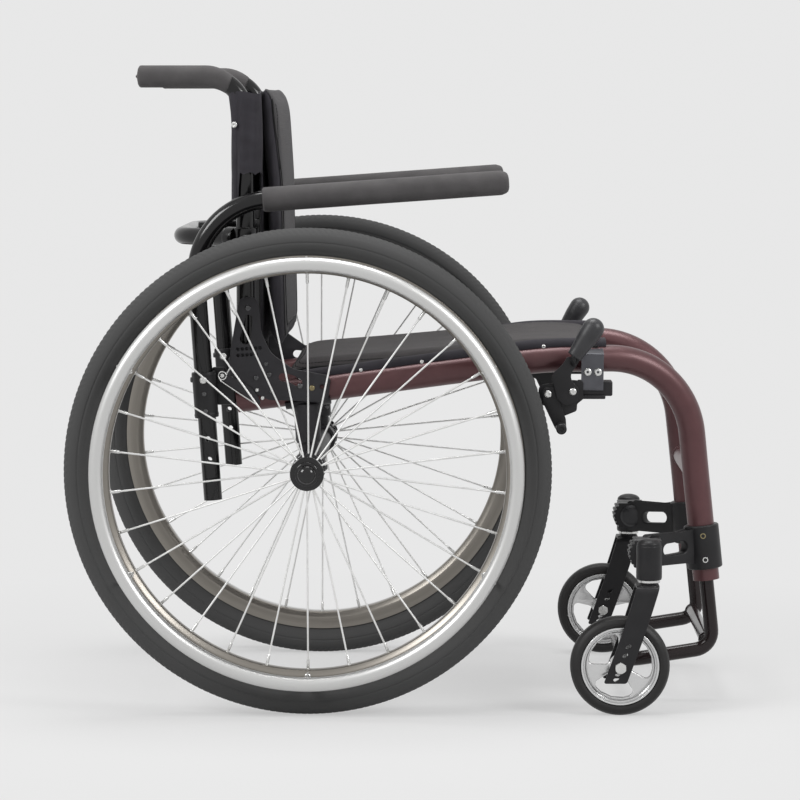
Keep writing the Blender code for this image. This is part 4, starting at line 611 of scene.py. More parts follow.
@dataclass(frozen=True)
class Finish:
    """A surface: its two colours, its gloss, and the pattern and depth of its relief."""

    label: str
    slot: str
    dark: tuple[float, float, float]
    light: tuple[float, float, float]
    rough: tuple[float, float]
    metallic: float = 0.0
    coat: float = 0.0
    coat_rough: float = 0.1
    sheen: float = 0.0
    specular: float = 0.5
    pattern: Pattern = Pattern.GRAIN
    scale: float = 700.0
    depth: float = 0.00004
    worn: float = 0.0
    dusty: float = 0.04
    dust_colour: tuple[float, ...] = (0.42, 0.40, 0.37, 1.0)

    def material(self) -> bpy.types.Material:
        """The finish as a material, built once.

        Returns:
            A Principled surface. The stain mixes the two colours and spreads the gloss, wear
            shows the lighter colour on edges, and dust lies on top. Brushed lines and weaves
            follow the texture map; the rest lies in the object's space.
        """
        if self.label in bpy.data.materials:
            return bpy.data.materials[self.label]
        material = bpy.data.materials.new(self.label)
        material.use_nodes = True
        graph = Graph(material.node_tree)
        shader = next(node for node in graph.tree.nodes if node.type == "BSDF_PRINCIPLED")
        place = graph.node("TexCoord").outputs

        def effect(name: str, vector: Socket, control: float) -> bpy.types.Node:
            """Group node of one effect."""
            return graph.node("Group", {"node_tree": effect_group(name)}, i0=vector, i1=control)

        relief = effect(self.pattern.value, place["Object" if self.pattern is Pattern.GRAIN else "UV"],
                        1.0 / self.scale if self.pattern is Pattern.WEAVE else self.scale).outputs
        tone = graph.maths("ADD", graph.product(relief["Stain"], 0.6), graph.product(relief["Height"], 0.4))
        colour = graph.blended(tone, (*self.dark, 1.0), (*self.light, 1.0))
        if self.worn:
            bare = (*(min(1.0, 2.2 * value + 0.06) for value in self.light), 1.0)
            colour = graph.blended(effect("wear", place["Object"], self.worn).outputs[0], colour, bare)
        if self.dusty:
            dusted = effect("dust", place["Object"], self.dusty).outputs[0]
            colour = graph.blended(dusted, colour, self.dust_colour)
        bump = graph.node("Bump", Height=relief["Height"], Distance=self.depth)
        links = {"Base Color": colour, "Roughness": graph.spanned(tone, 0.0, 1.0, *self.rough),
                 "Normal": bump.outputs[0]}
        for name, socket in links.items():
            graph.tree.links.new(socket, shader.inputs[name])
        values = {"Metallic": self.metallic, "Coat Weight": self.coat, "Coat Roughness": self.coat_rough,
                  "Sheen Weight": self.sheen, "Specular IOR Level": self.specular}
        for name, value in values.items():
            shader.inputs[name].default_value = value
        return material


MAROON = Finish("maroon_satin_paint", "frame_paint", (0.078, 0.025, 0.028), (0.094, 0.032, 0.035),
                (0.36, 0.44), 0.45, 0.40, 0.34, scale=1500.0, depth=0.00001)
GLOSS_BLACK = Finish("gloss_black_paint", "black_paint", (0.0030, 0.0030, 0.0034), (0.0055, 0.0052, 0.0056),
                     (0.12, 0.20), scale=300.0, depth=0.000006, specular=0.42)
LOOP_PAINT = Finish("brown_black_paint", "black_paint", (0.0100, 0.0055, 0.0060), (0.0150, 0.0085, 0.0092),
                    (0.16, 0.24), scale=300.0, depth=0.000006, specular=0.36)
SATIN_BLACK = Finish("satin_black_coat", "black_paint", (0.0085, 0.0082, 0.0092), (0.0150, 0.0145, 0.0158),
                     (0.36, 0.48), scale=900.0, depth=0.00002, specular=0.3)
DARK_METAL = Finish("dark_anodised_plate", "dark_metal", (0.0170, 0.0160, 0.0185), (0.0250, 0.0240, 0.0275),
                    (0.38, 0.50), 0.15, scale=1200.0, depth=0.00001, worn=0.10, specular=0.35)
CLAMP_METAL = Finish("grey_strap", "dark_metal", (0.070, 0.071, 0.080), (0.105, 0.106, 0.118), (0.38, 0.48),
                     0.6, scale=1200.0, depth=0.00001, worn=0.15, specular=0.4)
SCREW_METAL = Finish("dark_screw_steel", "dark_metal", (0.060, 0.060, 0.063), (0.130, 0.130, 0.132),
                     (0.22, 0.34), 0.9, scale=900.0, depth=0.00001, dusty=0.0)
BRASSY_STEEL = Finish("yellow_zinc_steel", "bright_steel", (0.20, 0.16, 0.08), (0.34, 0.29, 0.17),
                      (0.24, 0.34), 0.9, scale=900.0, depth=0.00001, dusty=0.0)
HANDRIM_METAL = Finish("satin_aluminium", "satin_aluminium", (0.52, 0.52, 0.49), (0.60, 0.60, 0.57),
                       (0.52, 0.60), 0.55, pattern=Pattern.BRUSHED, depth=0.00001, dusty=0.0)
RIM_METAL = Finish("anodised_rim", "rim_metal", (0.20, 0.185, 0.165), (0.31, 0.29, 0.26), (0.28, 0.40),
                   0.9, pattern=Pattern.BRUSHED, depth=0.000015, dusty=0.02)
SPOKE_STEEL = Finish("drawn_spoke_steel", "spoke_steel", (0.72, 0.72, 0.71), (0.82, 0.82, 0.81),
                     (0.36, 0.44), 0.45, scale=1500.0, depth=0.000002, dusty=0.0)
BRIGHT_STEEL = Finish("zinc_plated_steel", "bright_steel", (0.56, 0.56, 0.55), (0.74, 0.74, 0.73),
                      (0.20, 0.32), 0.9, scale=900.0, depth=0.00001, dusty=0.0)
CASTER_METAL = Finish("machined_caster_rim", "caster_metal", (0.58, 0.58, 0.58), (0.72, 0.72, 0.72),
                      (0.20, 0.30), 0.85, pattern=Pattern.BRUSHED, depth=0.00001, dusty=0.0)
TYRE_RUBBER = Finish("tyre_rubber", "tyre_rubber", (0.020, 0.020, 0.022), (0.038, 0.038, 0.040), (0.60, 0.76),
                     scale=900.0, depth=0.00008, dusty=0.08, specular=0.4)
CASTER_RUBBER = Finish("caster_rubber", "tyre_rubber", (0.0090, 0.0085, 0.0085), (0.0170, 0.0160, 0.0160),
                       (0.42, 0.56), scale=700.0, depth=0.00003, dusty=0.06, specular=0.35)
GRIP_RUBBER = Finish("lever_grip_rubber", "grip_rubber", (0.018, 0.018, 0.020), (0.032, 0.032, 0.035),
                     (0.36, 0.46), scale=1200.0, depth=0.00003, specular=0.45)
FOAM = Finish("closed_cell_foam", "foam", (0.060, 0.057, 0.058), (0.088, 0.084, 0.085), (0.86, 0.96),
              sheen=0.1, scale=850.0, depth=0.00024, specular=0.2)
BLACK_PLASTIC = Finish("gloss_black_plastic", "black_plastic", (0.0030, 0.0030, 0.0034),
                       (0.0050, 0.0050, 0.0054), (0.08, 0.14), scale=200.0, depth=0.000004, dusty=0.0)
SEAT_FABRIC = Finish("woven_seat_nylon", "seat_fabric", (0.025, 0.022, 0.023), (0.048, 0.043, 0.044),
                     (0.80, 0.92), sheen=0.1, pattern=Pattern.WEAVE, scale=520.0, depth=0.00022, specular=0.2)
BACK_FABRIC = Finish("back_panel_mesh", "back_fabric", (0.031, 0.029, 0.031), (0.056, 0.053, 0.056),
                     (0.84, 0.94), sheen=0.1, pattern=Pattern.WEAVE, scale=420.0, depth=0.0003, specular=0.25)
SLEEVE_FABRIC = Finish("back_side_fabric", "back_fabric", (0.0250, 0.0230, 0.0280), (0.0460, 0.0430, 0.0510),
                       (0.70, 0.84), sheen=0.05, pattern=Pattern.WEAVE, scale=600.0, depth=0.0002,
                       specular=0.2)
THREAD = Finish("sewing_thread", "seat_fabric", (0.0080, 0.0080, 0.0085), (0.0200, 0.0200, 0.0205),
                (0.7, 0.8), scale=1500.0, depth=0.0001, specular=0.2)
ROUND_SHADING = 38.0


# Making pieces


def shaded(mesh: bpy.types.Mesh, crease: float = ROUND_SHADING) -> None:
    """Shade a mesh round, apart from edges sharper than the crease in degrees."""
    mesh.shade_smooth()
    mesh.set_sharp_from_angle(angle=math.radians(crease))


@dataclass
class Workshop:
    """Turns shells into pieces of the chair, and keeps count of them."""

    axle_x: float
    count: int = 0

    def make(self, name: str, shell: Shell, finish: Finish, body: str, *nodes: str,
             crease: float = ROUND_SHADING, finished: bool = True) -> bpy.types.Object:
        """One piece.

        Args:
            name: name of the piece.
            shell: its surface, measured ahead of the axle.
            finish: its finish.
            body: moving body that it rides on.
            nodes: solids that it stands for.
            crease: sharpest angle in degrees that is still shaded round.
            finished: the piece is ready to ride; False where it is still to be worked on.
        Returns:
            The object, at the origin, with its place in its mesh.
        """
        mesh = mesh_of(name, shell.shifted(self.axle_x))
        shaded(mesh, crease)
        mesh.materials.append(finish.material())
        obj = linked(name, mesh)
        if finished:
            self.hand_over(obj, finish, body, *nodes)
        return obj

    def hand_over(self, obj: bpy.types.Object, finish: Finish, body: str, *nodes: str) -> None:
        """Let a piece ride on its body and stand for its solids."""
        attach(obj, body)
        if nodes:
            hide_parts(*nodes)
        self.count += 1
        log.info("%s: %d faces, on %s", obj.name, len(obj.data.polygons), body)


@dataclass
class Paired:
    """Sub-assembly that the chair has once on each side."""

    side: Side

    @property
    def sign(self) -> float:
        """Sign of this side's Y."""
        return float(self.side.value)

    @property
    def out(self) -> Array:
        """Unit vector that points away from the chair."""
        return self.side.outward

    def at(self, x: float, y: float, z: float) -> Array:
        """Point whose Y is measured outboard from the chair's middle."""
        return np.array((x, self.sign * y, z))

    def make(self, shop: Workshop, body: str, *rows: tuple) -> None:
        """Make pieces that ride on one body; the side's word goes before each of their names.

        Args:
            shop: where the pieces are made.
            body: the frame, or the name of a body that this side has, without the side's word.
            rows: for each piece its name, its shell, its finish and perhaps the solid it stands for.
        """
        word = self.side.label
        for name, shell, finish, *nodes in rows:
            shop.make(f"{word}_{name}", shell, finish, body if body == "frame" else f"{word}_{body}",
                      *[f"{word}_{node}" for node in nodes])


# The chair's sub-assemblies


@dataclass
class RearWheel(Paired):
    """Spoked wheel with its tyre, handrim and quick release axle, on one side."""

    tyre_radius: float = 0.306
    tyre_width: float = 0.037
    tyre_middle: float = 0.2885
    tread_blocks: int = 240
    tread_edge: float = 0.98
    groove: float = 0.0009
    wheel_y: float = 0.255
    rim_radius: float = 0.272
    rim_inner: float = 0.249
    rim_floor: float = 0.2610
    rim_half: float = 0.0125
    handrim_radius: float = 0.262
    handrim_tube: float = 0.009
    handrim_offset: float = 0.042
    tabs: int = 6
    tab_width: float = 0.016
    tab_half_thick: float = 0.0012
    spokes: int = 30
    spoke_radius: float = 0.00115
    spoke_root: float = 0.0150
    spoke_planes: tuple[float, float] = (0.0235, -0.0276)
    flange_radius: float = 0.0213

    @property
    def centre(self) -> Array:
        """Middle of the wheel."""
        return np.array((0.0, self.side.value * self.wheel_y, self.tyre_radius))

    def round_axle(self, corners: Sequence, radii: Sequence[float], steps: int = 72,
                   closed: bool = False) -> Shell:
        """A shape turned about the wheel's axle, its heights measured outboard from the wheel's middle."""
        return turned(corners, radii, self.centre, self.out, steps, closed)

    def radials(self, count: int, axis: Array) -> Array:
        """Unit vectors that share the wheel evenly, from straight down."""
        return spin(-UP, axis, even_turns(count))

    def tyre(self) -> Shell:
        """Tyre with a cut tread.

        Returns:
            Ring whose section is an ellipse of angle t with bead feet. Where t is under the tread's
            edge the radius drops in slanted grooves, which repeat with the turn plus 1.4 times t,
            and in two round ones. A thin line is sunk into the sidewall near the rim.
        """
        t = np.linspace(-2.2, 2.2, 60)
        radius = self.tyre_middle + (self.tyre_radius - self.tyre_middle) * np.cos(t)
        bead = np.array(((0.2728, 0.0108), (0.2706, 0.0101), (0.2640, 0.0100)))
        radius = np.concatenate((bead[::-1, 0], radius, bead[:, 0]))
        height = np.concatenate((-bead[::-1, 1], self.tyre_width / 2 * np.sin(t), bead[:, 1]))
        angle = np.abs(np.concatenate((np.full(3, -3.0), t, np.full(3, 3.0))))[:, None]
        turns = even_turns(4 * self.tread_blocks)
        slant = np.mod(turns / FULL_TURN * self.tread_blocks + 1.4 * angle, 1.0)
        tread = np.clip((self.tread_edge - angle) / 0.12, 0.0, 1.0)
        depth = (slant < 0.34) * self.groove + (np.abs(angle - 0.33) < 0.05) * 0.0008
        line = self.groove * np.exp(-(((angle[:, 0] - 1.62) / 0.045) ** 2))
        radii = radius[:, None] - np.minimum(depth, 0.0011) * tread
        heights = height - np.sign(height) * line
        across = spin(AHEAD, self.out, turns)
        points = self.centre + radii[..., None] * across + heights[:, None, None] * self.out
        return grid_shell(points, wrap_rows=True)

    def rim(self) -> Shell:
        """Double-walled rim: a closed section with rolled edges."""
        half = self.rim_half
        corners = mirrored(((self.rim_floor, 0.0), (self.rim_floor, half - 0.002),
                            (self.rim_radius - 0.0005, half - 0.002), (self.rim_radius, half), (0.2560, half),
                            (self.rim_inner, half - 0.0055)))
        corners[-1] = (self.rim_floor, -0.0001)
        radii = (0.001, 0.0005, 0.0005, 0.004, 0.004, 0.004, 0.004, 0.0005, 0.0005, 0.001)
        return self.round_axle(corners, radii, 320, closed=True)

    def spoke_lines(self) -> list[tuple[Array, Array]]:
        """Root and rim end of each spoke; the first one hangs straight down."""
        lines = []
        for number, radial in enumerate(self.radials(self.spokes, -LEFT)):
            root = self.centre + self.out * self.spoke_planes[number % 2] + radial * self.spoke_root
            lines.append((root, self.centre + radial * (self.rim_inner + 0.0006)))
        return lines

    def wire_spokes(self) -> Shell:
        """Round spokes, straight from the hub's flanges to the rim."""
        return merged(*[tube(np.linspace(root, tip, 3), self.spoke_radius, LEFT, 10)
                        for root, tip in self.spoke_lines()])

    def nipples(self) -> Shell:
        """Spoke nipples at the rim: a collar, a slim barrel and a rounded end."""
        profile = np.array(((0.0, 0.0), (0.0030, 0.0), (0.0030, 0.0012), (0.0019, 0.0016), (0.0019, 0.0120),
                            (0.0013, 0.0135), (0.0, 0.0135)))
        return merged(*[lathe(profile, tip, root - tip, 12) for root, tip in self.spoke_lines()])

    def hub(self) -> Shell:
        """Hub core and its two flanges, of which the inner one has a scalloped rim.

        The inner flange's radius is less where the cosine of half as many turns as spokes is low.
        """
        turns = even_turns(240)
        outer = self.flange_radius * np.ones(len(turns))
        inner = outer - 0.0007 * (np.cos(turns * self.spokes / 2) < -0.2)
        radii = (0.0066, 0.0120, 0.0190, outer - 0.0012, outer, outer, outer - 0.0012, 0.0165, 0.0150, 0.0150,
                 0.0165, inner - 0.0010, inner, inner, inner - 0.0010, 0.0150, 0.0140, 0.0085, 0.0066)
        heights = (0.0260, 0.0260, 0.0258, 0.0256, 0.0247, 0.0229, 0.0221, 0.0216, 0.0200, -0.0225, -0.0250,
                   -0.0258, -0.0266, -0.0288, -0.0297, -0.0303, -0.0335, -0.0340, -0.0340)
        rows = [np.broadcast_to(radius, turns.shape) for radius in radii]
        return lobed(np.array(rows), np.array(heights), self.centre, self.out)

    def barrel(self) -> Shell:
        """Bright sleeve of the hub between its flanges."""
        corners = ((0.0151, -0.0222), (0.0166, -0.0222), (0.0157, -0.0150), (0.0157, 0.0150), (0.0166, 0.0196),
                   (0.0151, 0.0196))
        return self.round_axle(corners, (0.0005, 0.004, 0.004, 0.0005), closed=True)

    def handrim(self) -> Shell:
        """Round handrim."""
        profile = ring(self.handrim_tube, 28) + np.array((self.handrim_radius, self.handrim_offset))
        return lathe(profile, self.centre, self.out, 320, closed=True)

    def handrim_tabs(self) -> Shell:
        """Bent strips that hold the handrim off the rim, each with a foot on the rim's face."""
        foot = self.rim_half + 0.0017
        path = bent(((foot, -0.2515, 0.0), (foot, -0.2635, 0.0), (self.handrim_offset - 0.0050, -0.2640, 0.0)),
                    (0.004,), 0.2)
        half = self.tab_width / 2
        thick = self.tab_half_thick
        outline = bent(((-thick, 0.0), (-thick, -half), (thick, -half), (thick, half), (-thick, half),
                        (-thick, 0.0001)), (0.0008,) * 4, 0.5)
        strip = swept(path, outline[:, ::-1], UP)
        place = Matrix(((0, 0, 1, 0), (self.side.value, 0, 0, 0), (0, 1, 0, 0), (0, 0, 0, 1)))
        middle = Matrix.Translation(Vector(self.centre))
        return merged(*[strip.moved(middle @ Matrix.Rotation(turn, 4, "Y") @ place)
                        for turn in even_turns(self.tabs)])

    def tab_screws(self) -> Shell:
        """Screws through the feet of the tabs."""
        face = self.centre + self.out * (self.rim_half + 0.0029)
        return merged(*[hex_screw(face + radial * 0.2560, self.out, 0.0040, 0.0022)
                        for radial in self.radials(self.tabs, LEFT)])

    def axle(self) -> Shell:
        """Quick release pin with its round head."""
        corners = ((0.0, -0.0940), (0.0050, -0.0940), (0.00635, -0.0920), (0.00635, 0.0266), (0.0155, 0.0266),
                   (0.0155, 0.0316), (0.0100, 0.0316), (0.0032, 0.0316), (0.0032, 0.0100), (0.0, 0.0100))
        return self.round_axle(corners, (0.0005, 0.0005, 0.0002, 0.0005, 0.0022, 0.0005, 0.0002, 0.0002))

    def button(self) -> Shell:
        """Domed push button on its stem."""
        foot = ((0.0116, 0.0350), (0.0025, 0.0350), (0.0025, 0.0090), (0.0, 0.0090))
        profile = np.concatenate((quarter_arc(0.0118, 14, 0.0352, 0.0088), foot))
        return lathe(profile, self.centre, self.out, 72)

    def build(self, shop: Workshop) -> None:
        """Make and place the wheel's pieces."""
        word = self.side.label
        shop.make(f"{word}_tyre_tread", self.tyre(), TYRE_RUBBER, f"{word}_wheel", f"{word}_tyre", crease=50)
        self.make(shop, "wheel", ("double_wall_rim", self.rim(), RIM_METAL, "rim"),
                  ("wire_spokes", self.wire_spokes(), SPOKE_STEEL), ("nipples", self.nipples(), BRIGHT_STEEL),
                  ("scalloped_hub", self.hub(), BLACK_PLASTIC, "hub_and_spokes"),
                  ("hub_barrel", self.barrel(), CASTER_METAL),
                  ("round_handrim", self.handrim(), HANDRIM_METAL, "handrim"),
                  ("handrim_tabs", self.handrim_tabs(), HANDRIM_METAL),
                  ("tab_screws", self.tab_screws(), BRIGHT_STEEL))
        self.make(shop, "frame", ("release_pin", self.axle(), BLACK_PLASTIC, "axle_pin"))
        self.make(shop, "button", ("release_button", self.button(), BLACK_PLASTIC, "axle_button"))


def down_tube(height: float, sign: float) -> Array:
    """Point of a down tube's centre line at a height above its foot."""
    x, y, foot = DOWN_FOOT
    return np.array((x - height * DOWN_LEAN, sign * y, foot + height))


def frame_path(sign: float) -> Array:
    """Centre line of a side frame, from its rear end to the foot of the down tube."""
    corners = [(x, sign * SEAT_TUBE_Y, z) for x, z in SEAT_TUBE_ENDS]
    x, y, z = FRONT_BEND
    corners.extend(((x, sign * y, z), down_tube(0.144, sign), down_tube(0.0, sign)))
    return bent(corners, (0.250, 0.112, 0.250), 0.05)


def path_at(path: Array, x: float) -> Array:
    """First point of a path, from its start, at which it reaches a value of X."""
    after = int(np.argmax(path[:, 0] >= x))
    start, end = path[after - 1:after + 1]
    return start + (end - start) * (x - start[0]) / (end[0] - start[0])


@dataclass
class Studio:
    """Camera at the photograph's place, soft lights, and a pale floor."""

    camera_place: tuple[float, float, float] = (0.1757, -4.6722, 0.7684)
    lens: float = 159.6
    sensor: float = 36.0
    pitch: float = 0.08394
    yaw: float = -0.01359
    pale: tuple[float, ...] = (0.805, 0.805, 0.805, 1.0)
    sky: float = 0.46
    floor_radius: float = 14.0
    floor_colour: float = 0.65
    floor_depth: float = 0.42
    fade: tuple[float, float] = (0.42, 1.15)

    def camera(self, axle_x: float) -> None:
        """Camera that looks ahead along +Y, turned by the yaw and tipped down by the pitch."""
        data = bpy.data.cameras.new("camera")
        data.lens = self.lens
        data.sensor_width = self.sensor
        data.clip_end = 60.0
        camera = linked("camera", data)
        camera.location = Vector(self.camera_place) + Vector((axle_x, 0.0, 0.0))
        camera.rotation_euler = (QUARTER_TURN - self.pitch, 0.0, -self.yaw)
        bpy.context.scene.camera = camera

    def softbox(self, name: str, place: tuple, aim: tuple, size: tuple, power: float) -> None:
        """Rectangular soft light."""
        data = bpy.data.lights.new(name, "AREA")
        data.shape = "RECTANGLE"
        data.size, data.size_y = size
        data.energy = power
        lamp = linked(name, data)
        lamp.location = place
        lamp.rotation_euler = (Vector(aim) - Vector(place)).to_track_quat("-Z", "Y").to_euler()

    def backdrop_share(self, graph: Graph) -> Socket:
        """One for rays that see the backdrop itself: from the camera, a gloss or a glass."""
        rays = graph.node("LightPath").outputs
        seen = graph.maths("MAXIMUM", rays["Is Camera Ray"], rays["Is Transmission Ray"])
        return graph.maths("MAXIMUM", seen, rays["Is Glossy Ray"])

    def world(self) -> None:
        """Pale backdrop, and a softer sky that lights the object."""
        world = bpy.data.worlds.new("studio")
        bpy.context.scene.world = world
        world.use_nodes = True
        graph = Graph(world.node_tree)
        graph.tree.nodes.clear()
        sky = graph.node("Background", Color=(1.0, 1.0, 1.0, 1.0), Strength=self.sky)
        backdrop = graph.node("Background", Color=self.pale, Strength=1.0)
        mix = graph.node("MixShader", i0=self.backdrop_share(graph), i1=sky.outputs[0], i2=backdrop.outputs[0])
        graph.node("OutputWorld", Surface=mix.outputs[0])

    def floor(self) -> None:
        """Round floor that takes the chair's shadow, softened, and fades into the backdrop away from it."""
        mesh = bpy.data.meshes.new("floor")
        mesh.from_pydata(np.pad(ring(self.floor_radius, 96), ((0, 0), (0, 1))), [], [tuple(range(96))])
        material = bpy.data.materials.new("studio_floor")
        material.use_nodes = True
        graph = Graph(material.node_tree)
        graph.tree.nodes.clear()
        place = graph.node("TexCoord").outputs["Object"]
        away = graph.node("VectorMath", {"operation": "LENGTH"}, i0=place).outputs["Value"]
        fade = graph.spanned(away, *self.fade, 1.0 - self.floor_depth, 1.0)
        tone = graph.spanned(graph.noise(place, 3.0), 0.3, 0.7, self.floor_colour, self.floor_colour + 0.01)
        matt = graph.node("BsdfDiffuse", Color=tone)
        glow = graph.node("Emission", Color=self.pale, Strength=1.0)
        share = graph.product(fade, self.backdrop_share(graph))
        mix = graph.node("MixShader", i0=share, i1=matt.outputs[0], i2=glow.outputs[0])
        graph.node("OutputMaterial", Surface=mix.outputs[0])
        mesh.materials.append(material)
        floor = linked("floor", mesh)

    def build(self, axle_x: float) -> None:
        """Set up the camera, the lights and the floor."""
        bpy.context.scene.view_settings.view_transform = "Standard"
        self.camera(axle_x)
        self.world()
        self.floor()
        self.softbox("key_light", (-2.6, -1.9, 2.6), (0.0, 0.0, 0.4), (1.4, 1.4), 68.0)
        self.softbox("side_light", (2.8, -1.9, 2.4), (0.0, 0.0, 0.4), (1.3, 1.3), 56.0)
        self.softbox("top_light", (0.0, 0.2, 3.0), (0.0, 0.0, 0.3), (1.5, 1.2), 42.0)


def apply_modifiers(obj: bpy.types.Object) -> None:
    """Replace an object's mesh by its evaluated one and drop its modifiers."""
    result = evaluated(obj)
    obj.modifiers.clear()
    obj.data = result


def carved(obj: bpy.types.Object, *cutters: Shell, operation: str = "DIFFERENCE") -> None:
    """Cut shells, placed as the object is, out of an object, or keep what is inside them."""
    for shell in cutters:
        cutter = linked("cutter", mesh_of("cutter", shell, mapped=False))
        modifier = obj.modifiers.new("cut", "BOOLEAN")
        modifier.operation = operation
        modifier.solver = "EXACT"
        modifier.object = cutter
        apply_modifiers(obj)
        bpy.data.objects.remove(cutter)
    shaded(obj.data)


@dataclass
class SideFrame(Paired):
    """Bent side tube with its seat rail, back bracket, armrest receiver and latch."""

    tube_radius: float = 0.017
    wall: float = 0.002
    rail_radius: float = 0.007
    rail_ends: tuple[float, float] = (-0.018, 0.3765)
    rail_screws: tuple[float, ...] = (-0.0115, 0.0655, 0.1425, 0.2195, 0.2965)
    plate_y: float = 0.210
    plate_thickness: float = 0.005
    hole_radius: float = 0.0021
    hole_pitch: float = 0.0056
    hole_rows: tuple[tuple, ...] = ((6, -0.0895, 0.4572), (5, -0.0892, 0.4494))
    receiver_ends: tuple[float, float] = (0.3715, 0.4290)
    receiver_radius: float = 0.0149
    latch_eye: tuple[float, float] = (-0.109, 0.424)
    latch_tip: tuple[float, float] = (-0.062, 0.388)
    latch_y: float = 0.2142

    def tube(self) -> Shell:
        """Open-ended frame tube."""
        return hollow(resampled(frame_path(self.sign), 0.006), self.tube_radius, self.wall, LEFT, 56)

    def rail_line(self, inset: float = 0.0) -> Array:
        """Axis of the seat rail, a height above the seat tube, between its ends less an inset."""
        path = resampled(frame_path(self.sign) + UP * RAIL_RISE, 0.004)
        start, end = self.rail_ends
        x, _, z = path.T
        return path[(x > start + inset) & (x < end - inset) & (z > RAIL_RISE + 0.40)]

    def rail(self) -> Shell:
        """Seat rail on top of the seat tube, with rounded ends."""
        path = self.rail_line()
        along = lengths(path)
        end = np.clip(np.minimum(along, along[-1] - along) / 0.004, 0.02, 1.0)
        radius = self.rail_radius * np.sqrt(np.clip(1.0 - (1.0 - end) ** 2, 0.05, 1.0))
        return swept(path, ring(1.0, 32) * radius[:, None, None], LEFT)

    def sleeve(self) -> Shell:
        """Seat cloth that wraps the rail's outer half and hangs to the tube, in shallow folds.

        A row's outline is an arc round the rail's axis, out and back, whose radius swells by a
        slow wave along the rail.
        """
        path = self.rail_line(0.002)
        turns = np.radians(np.linspace(-62.0, 172.0, 26))
        outer = np.stack((-np.sin(turns), self.sign * np.cos(turns)), axis=1)
        arc = np.concatenate(((self.rail_radius + 0.0013) * outer, (self.rail_radius + 0.0004) * outer[::-1]))
        wave = 1.0 + 0.03 * np.sin(lengths(path) * 70.0)
        return swept(path, arc * wave[:, None, None], LEFT)

    def screws_on_rail(self) -> Shell:
        """Snaps on the cloth round the rail, facing up and out."""
        path = frame_path(self.sign)
        way = unit(self.out - 0.15 * UP)
        lift = UP * RAIL_RISE + way * (self.rail_radius + 0.0008)
        return merged(*[hex_screw(path_at(path, x) + lift, way, 0.0026, 0.0014) for x in self.rail_screws])

    def bracket(self) -> Shell:
        """Bracket plate: a tall arm for the back post and a long foot on the seat tube."""
        corners = ((-0.0640, 0.5230, 0.0105), (-0.0872, 0.5230, 0.0105), (-0.0990, 0.4550, 0.010),
                   (-0.1005, 0.4300, 0.008), (-0.0880, 0.4080, 0.012), (-0.0500, 0.3930, 0.015),
                   (0.0240, 0.3900, 0.008), (0.0280, 0.4235, 0.008), (-0.0200, 0.4320, 0.030),
                   (-0.0480, 0.4520, 0.025), (-0.0600, 0.4790, 0.030))
        window = outlined(((-0.0885, 0.4650, 0.006), (-0.0735, 0.4625, 0.006), (-0.0708, 0.5000, 0.003),
                           (-0.0785, 0.5010, 0.003)))
        slot = bent(((-0.0330, 0.4215), (-0.0240, 0.4205), (-0.0135, 0.4150)), (0.02,), 0.2)
        holes = [window, curved_hole(slot, 0.0052), round_hole(0.0166, 0.4095, 0.0030)]
        for count, x, z in self.hole_rows:
            holes.extend(round_hole(x + self.hole_pitch * number, z + self.hole_pitch / 16 * number,
                                    self.hole_radius, 12) for number in range(count))
        face = plate(outlined(corners, 0.12), holes, self.plate_thickness, 0.0007)
        middle = self.at(-0.0755, self.plate_y - 0.0031, 0.4530)
        backing = rounded_block(middle, (0.0360, 0.0010, 0.0180), 0.0004)
        return merged(face.shifted(y=self.sign * self.plate_y), backing)

    def bracket_screws(self, *places: tuple[float, float, float]) -> Shell:
        """Screws on the bracket plate, each given as (x, z, radius)."""
        face = self.plate_y + self.plate_thickness / 2 - 0.0004
        return merged(*[hex_screw(self.at(x, face, z), self.out, radius, 0.0018) for x, z, radius in places])

    def arm_point(self, z: float) -> Array:
        """Point of the armrest post's axis at a height."""
        return self.at(ARM_FOOT[0] - (z - ARM_FOOT[1]) * math.tan(ARM_LEAN), ARM_Y, z)

    def receiver(self) -> Shell:
        """Sleeve for the armrest post, with rolled rims, and the block that joins it to the tube."""
        low, high = (self.arm_point(z) for z in self.receiver_ends)
        length = float(np.linalg.norm(high - low))
        radius = self.receiver_radius
        corners = ((0.0121, 0.0), (0.0150, 0.0), (0.0155, 0.0040), (radius, 0.0060), (radius, length - 0.0060),
                   (0.0155, length - 0.0040), (0.0150, length), (0.0121, length))
        rounds = (0.0008, 0.002, 0.001, 0.001, 0.002, 0.0008)
        sleeve = turned(corners, rounds, low, high - low, 64, closed=True)
        block = rounded_block(self.at(-0.1092, 0.1910, 0.4030), (0.0330, 0.0320, 0.0340), 0.004, 6)
        lug = rounded_block(self.at(-0.1140, 0.2030, 0.4220), (0.0180, 0.0080, 0.0240), 0.003, 5)
        return merged(sleeve, block, lug)

    def on_receiver(self, z: float, way: Array, radius: float, height: float) -> Shell:
        """Screw on the receiver's sleeve at a height, on the side that a direction gives."""
        return hex_screw(self.arm_point(z) + way * (self.receiver_radius - 0.0002), way, radius, height)

    def collar_screws(self) -> Shell:
        """Clamp screws of the receiver, on its rear and outer faces."""
        return merged(*[self.on_receiver(z, self.out, 0.0028, 0.0016) for z in (0.380, 0.402)],
                      self.on_receiver(0.4190, -AHEAD, 0.0036, 0.0026))

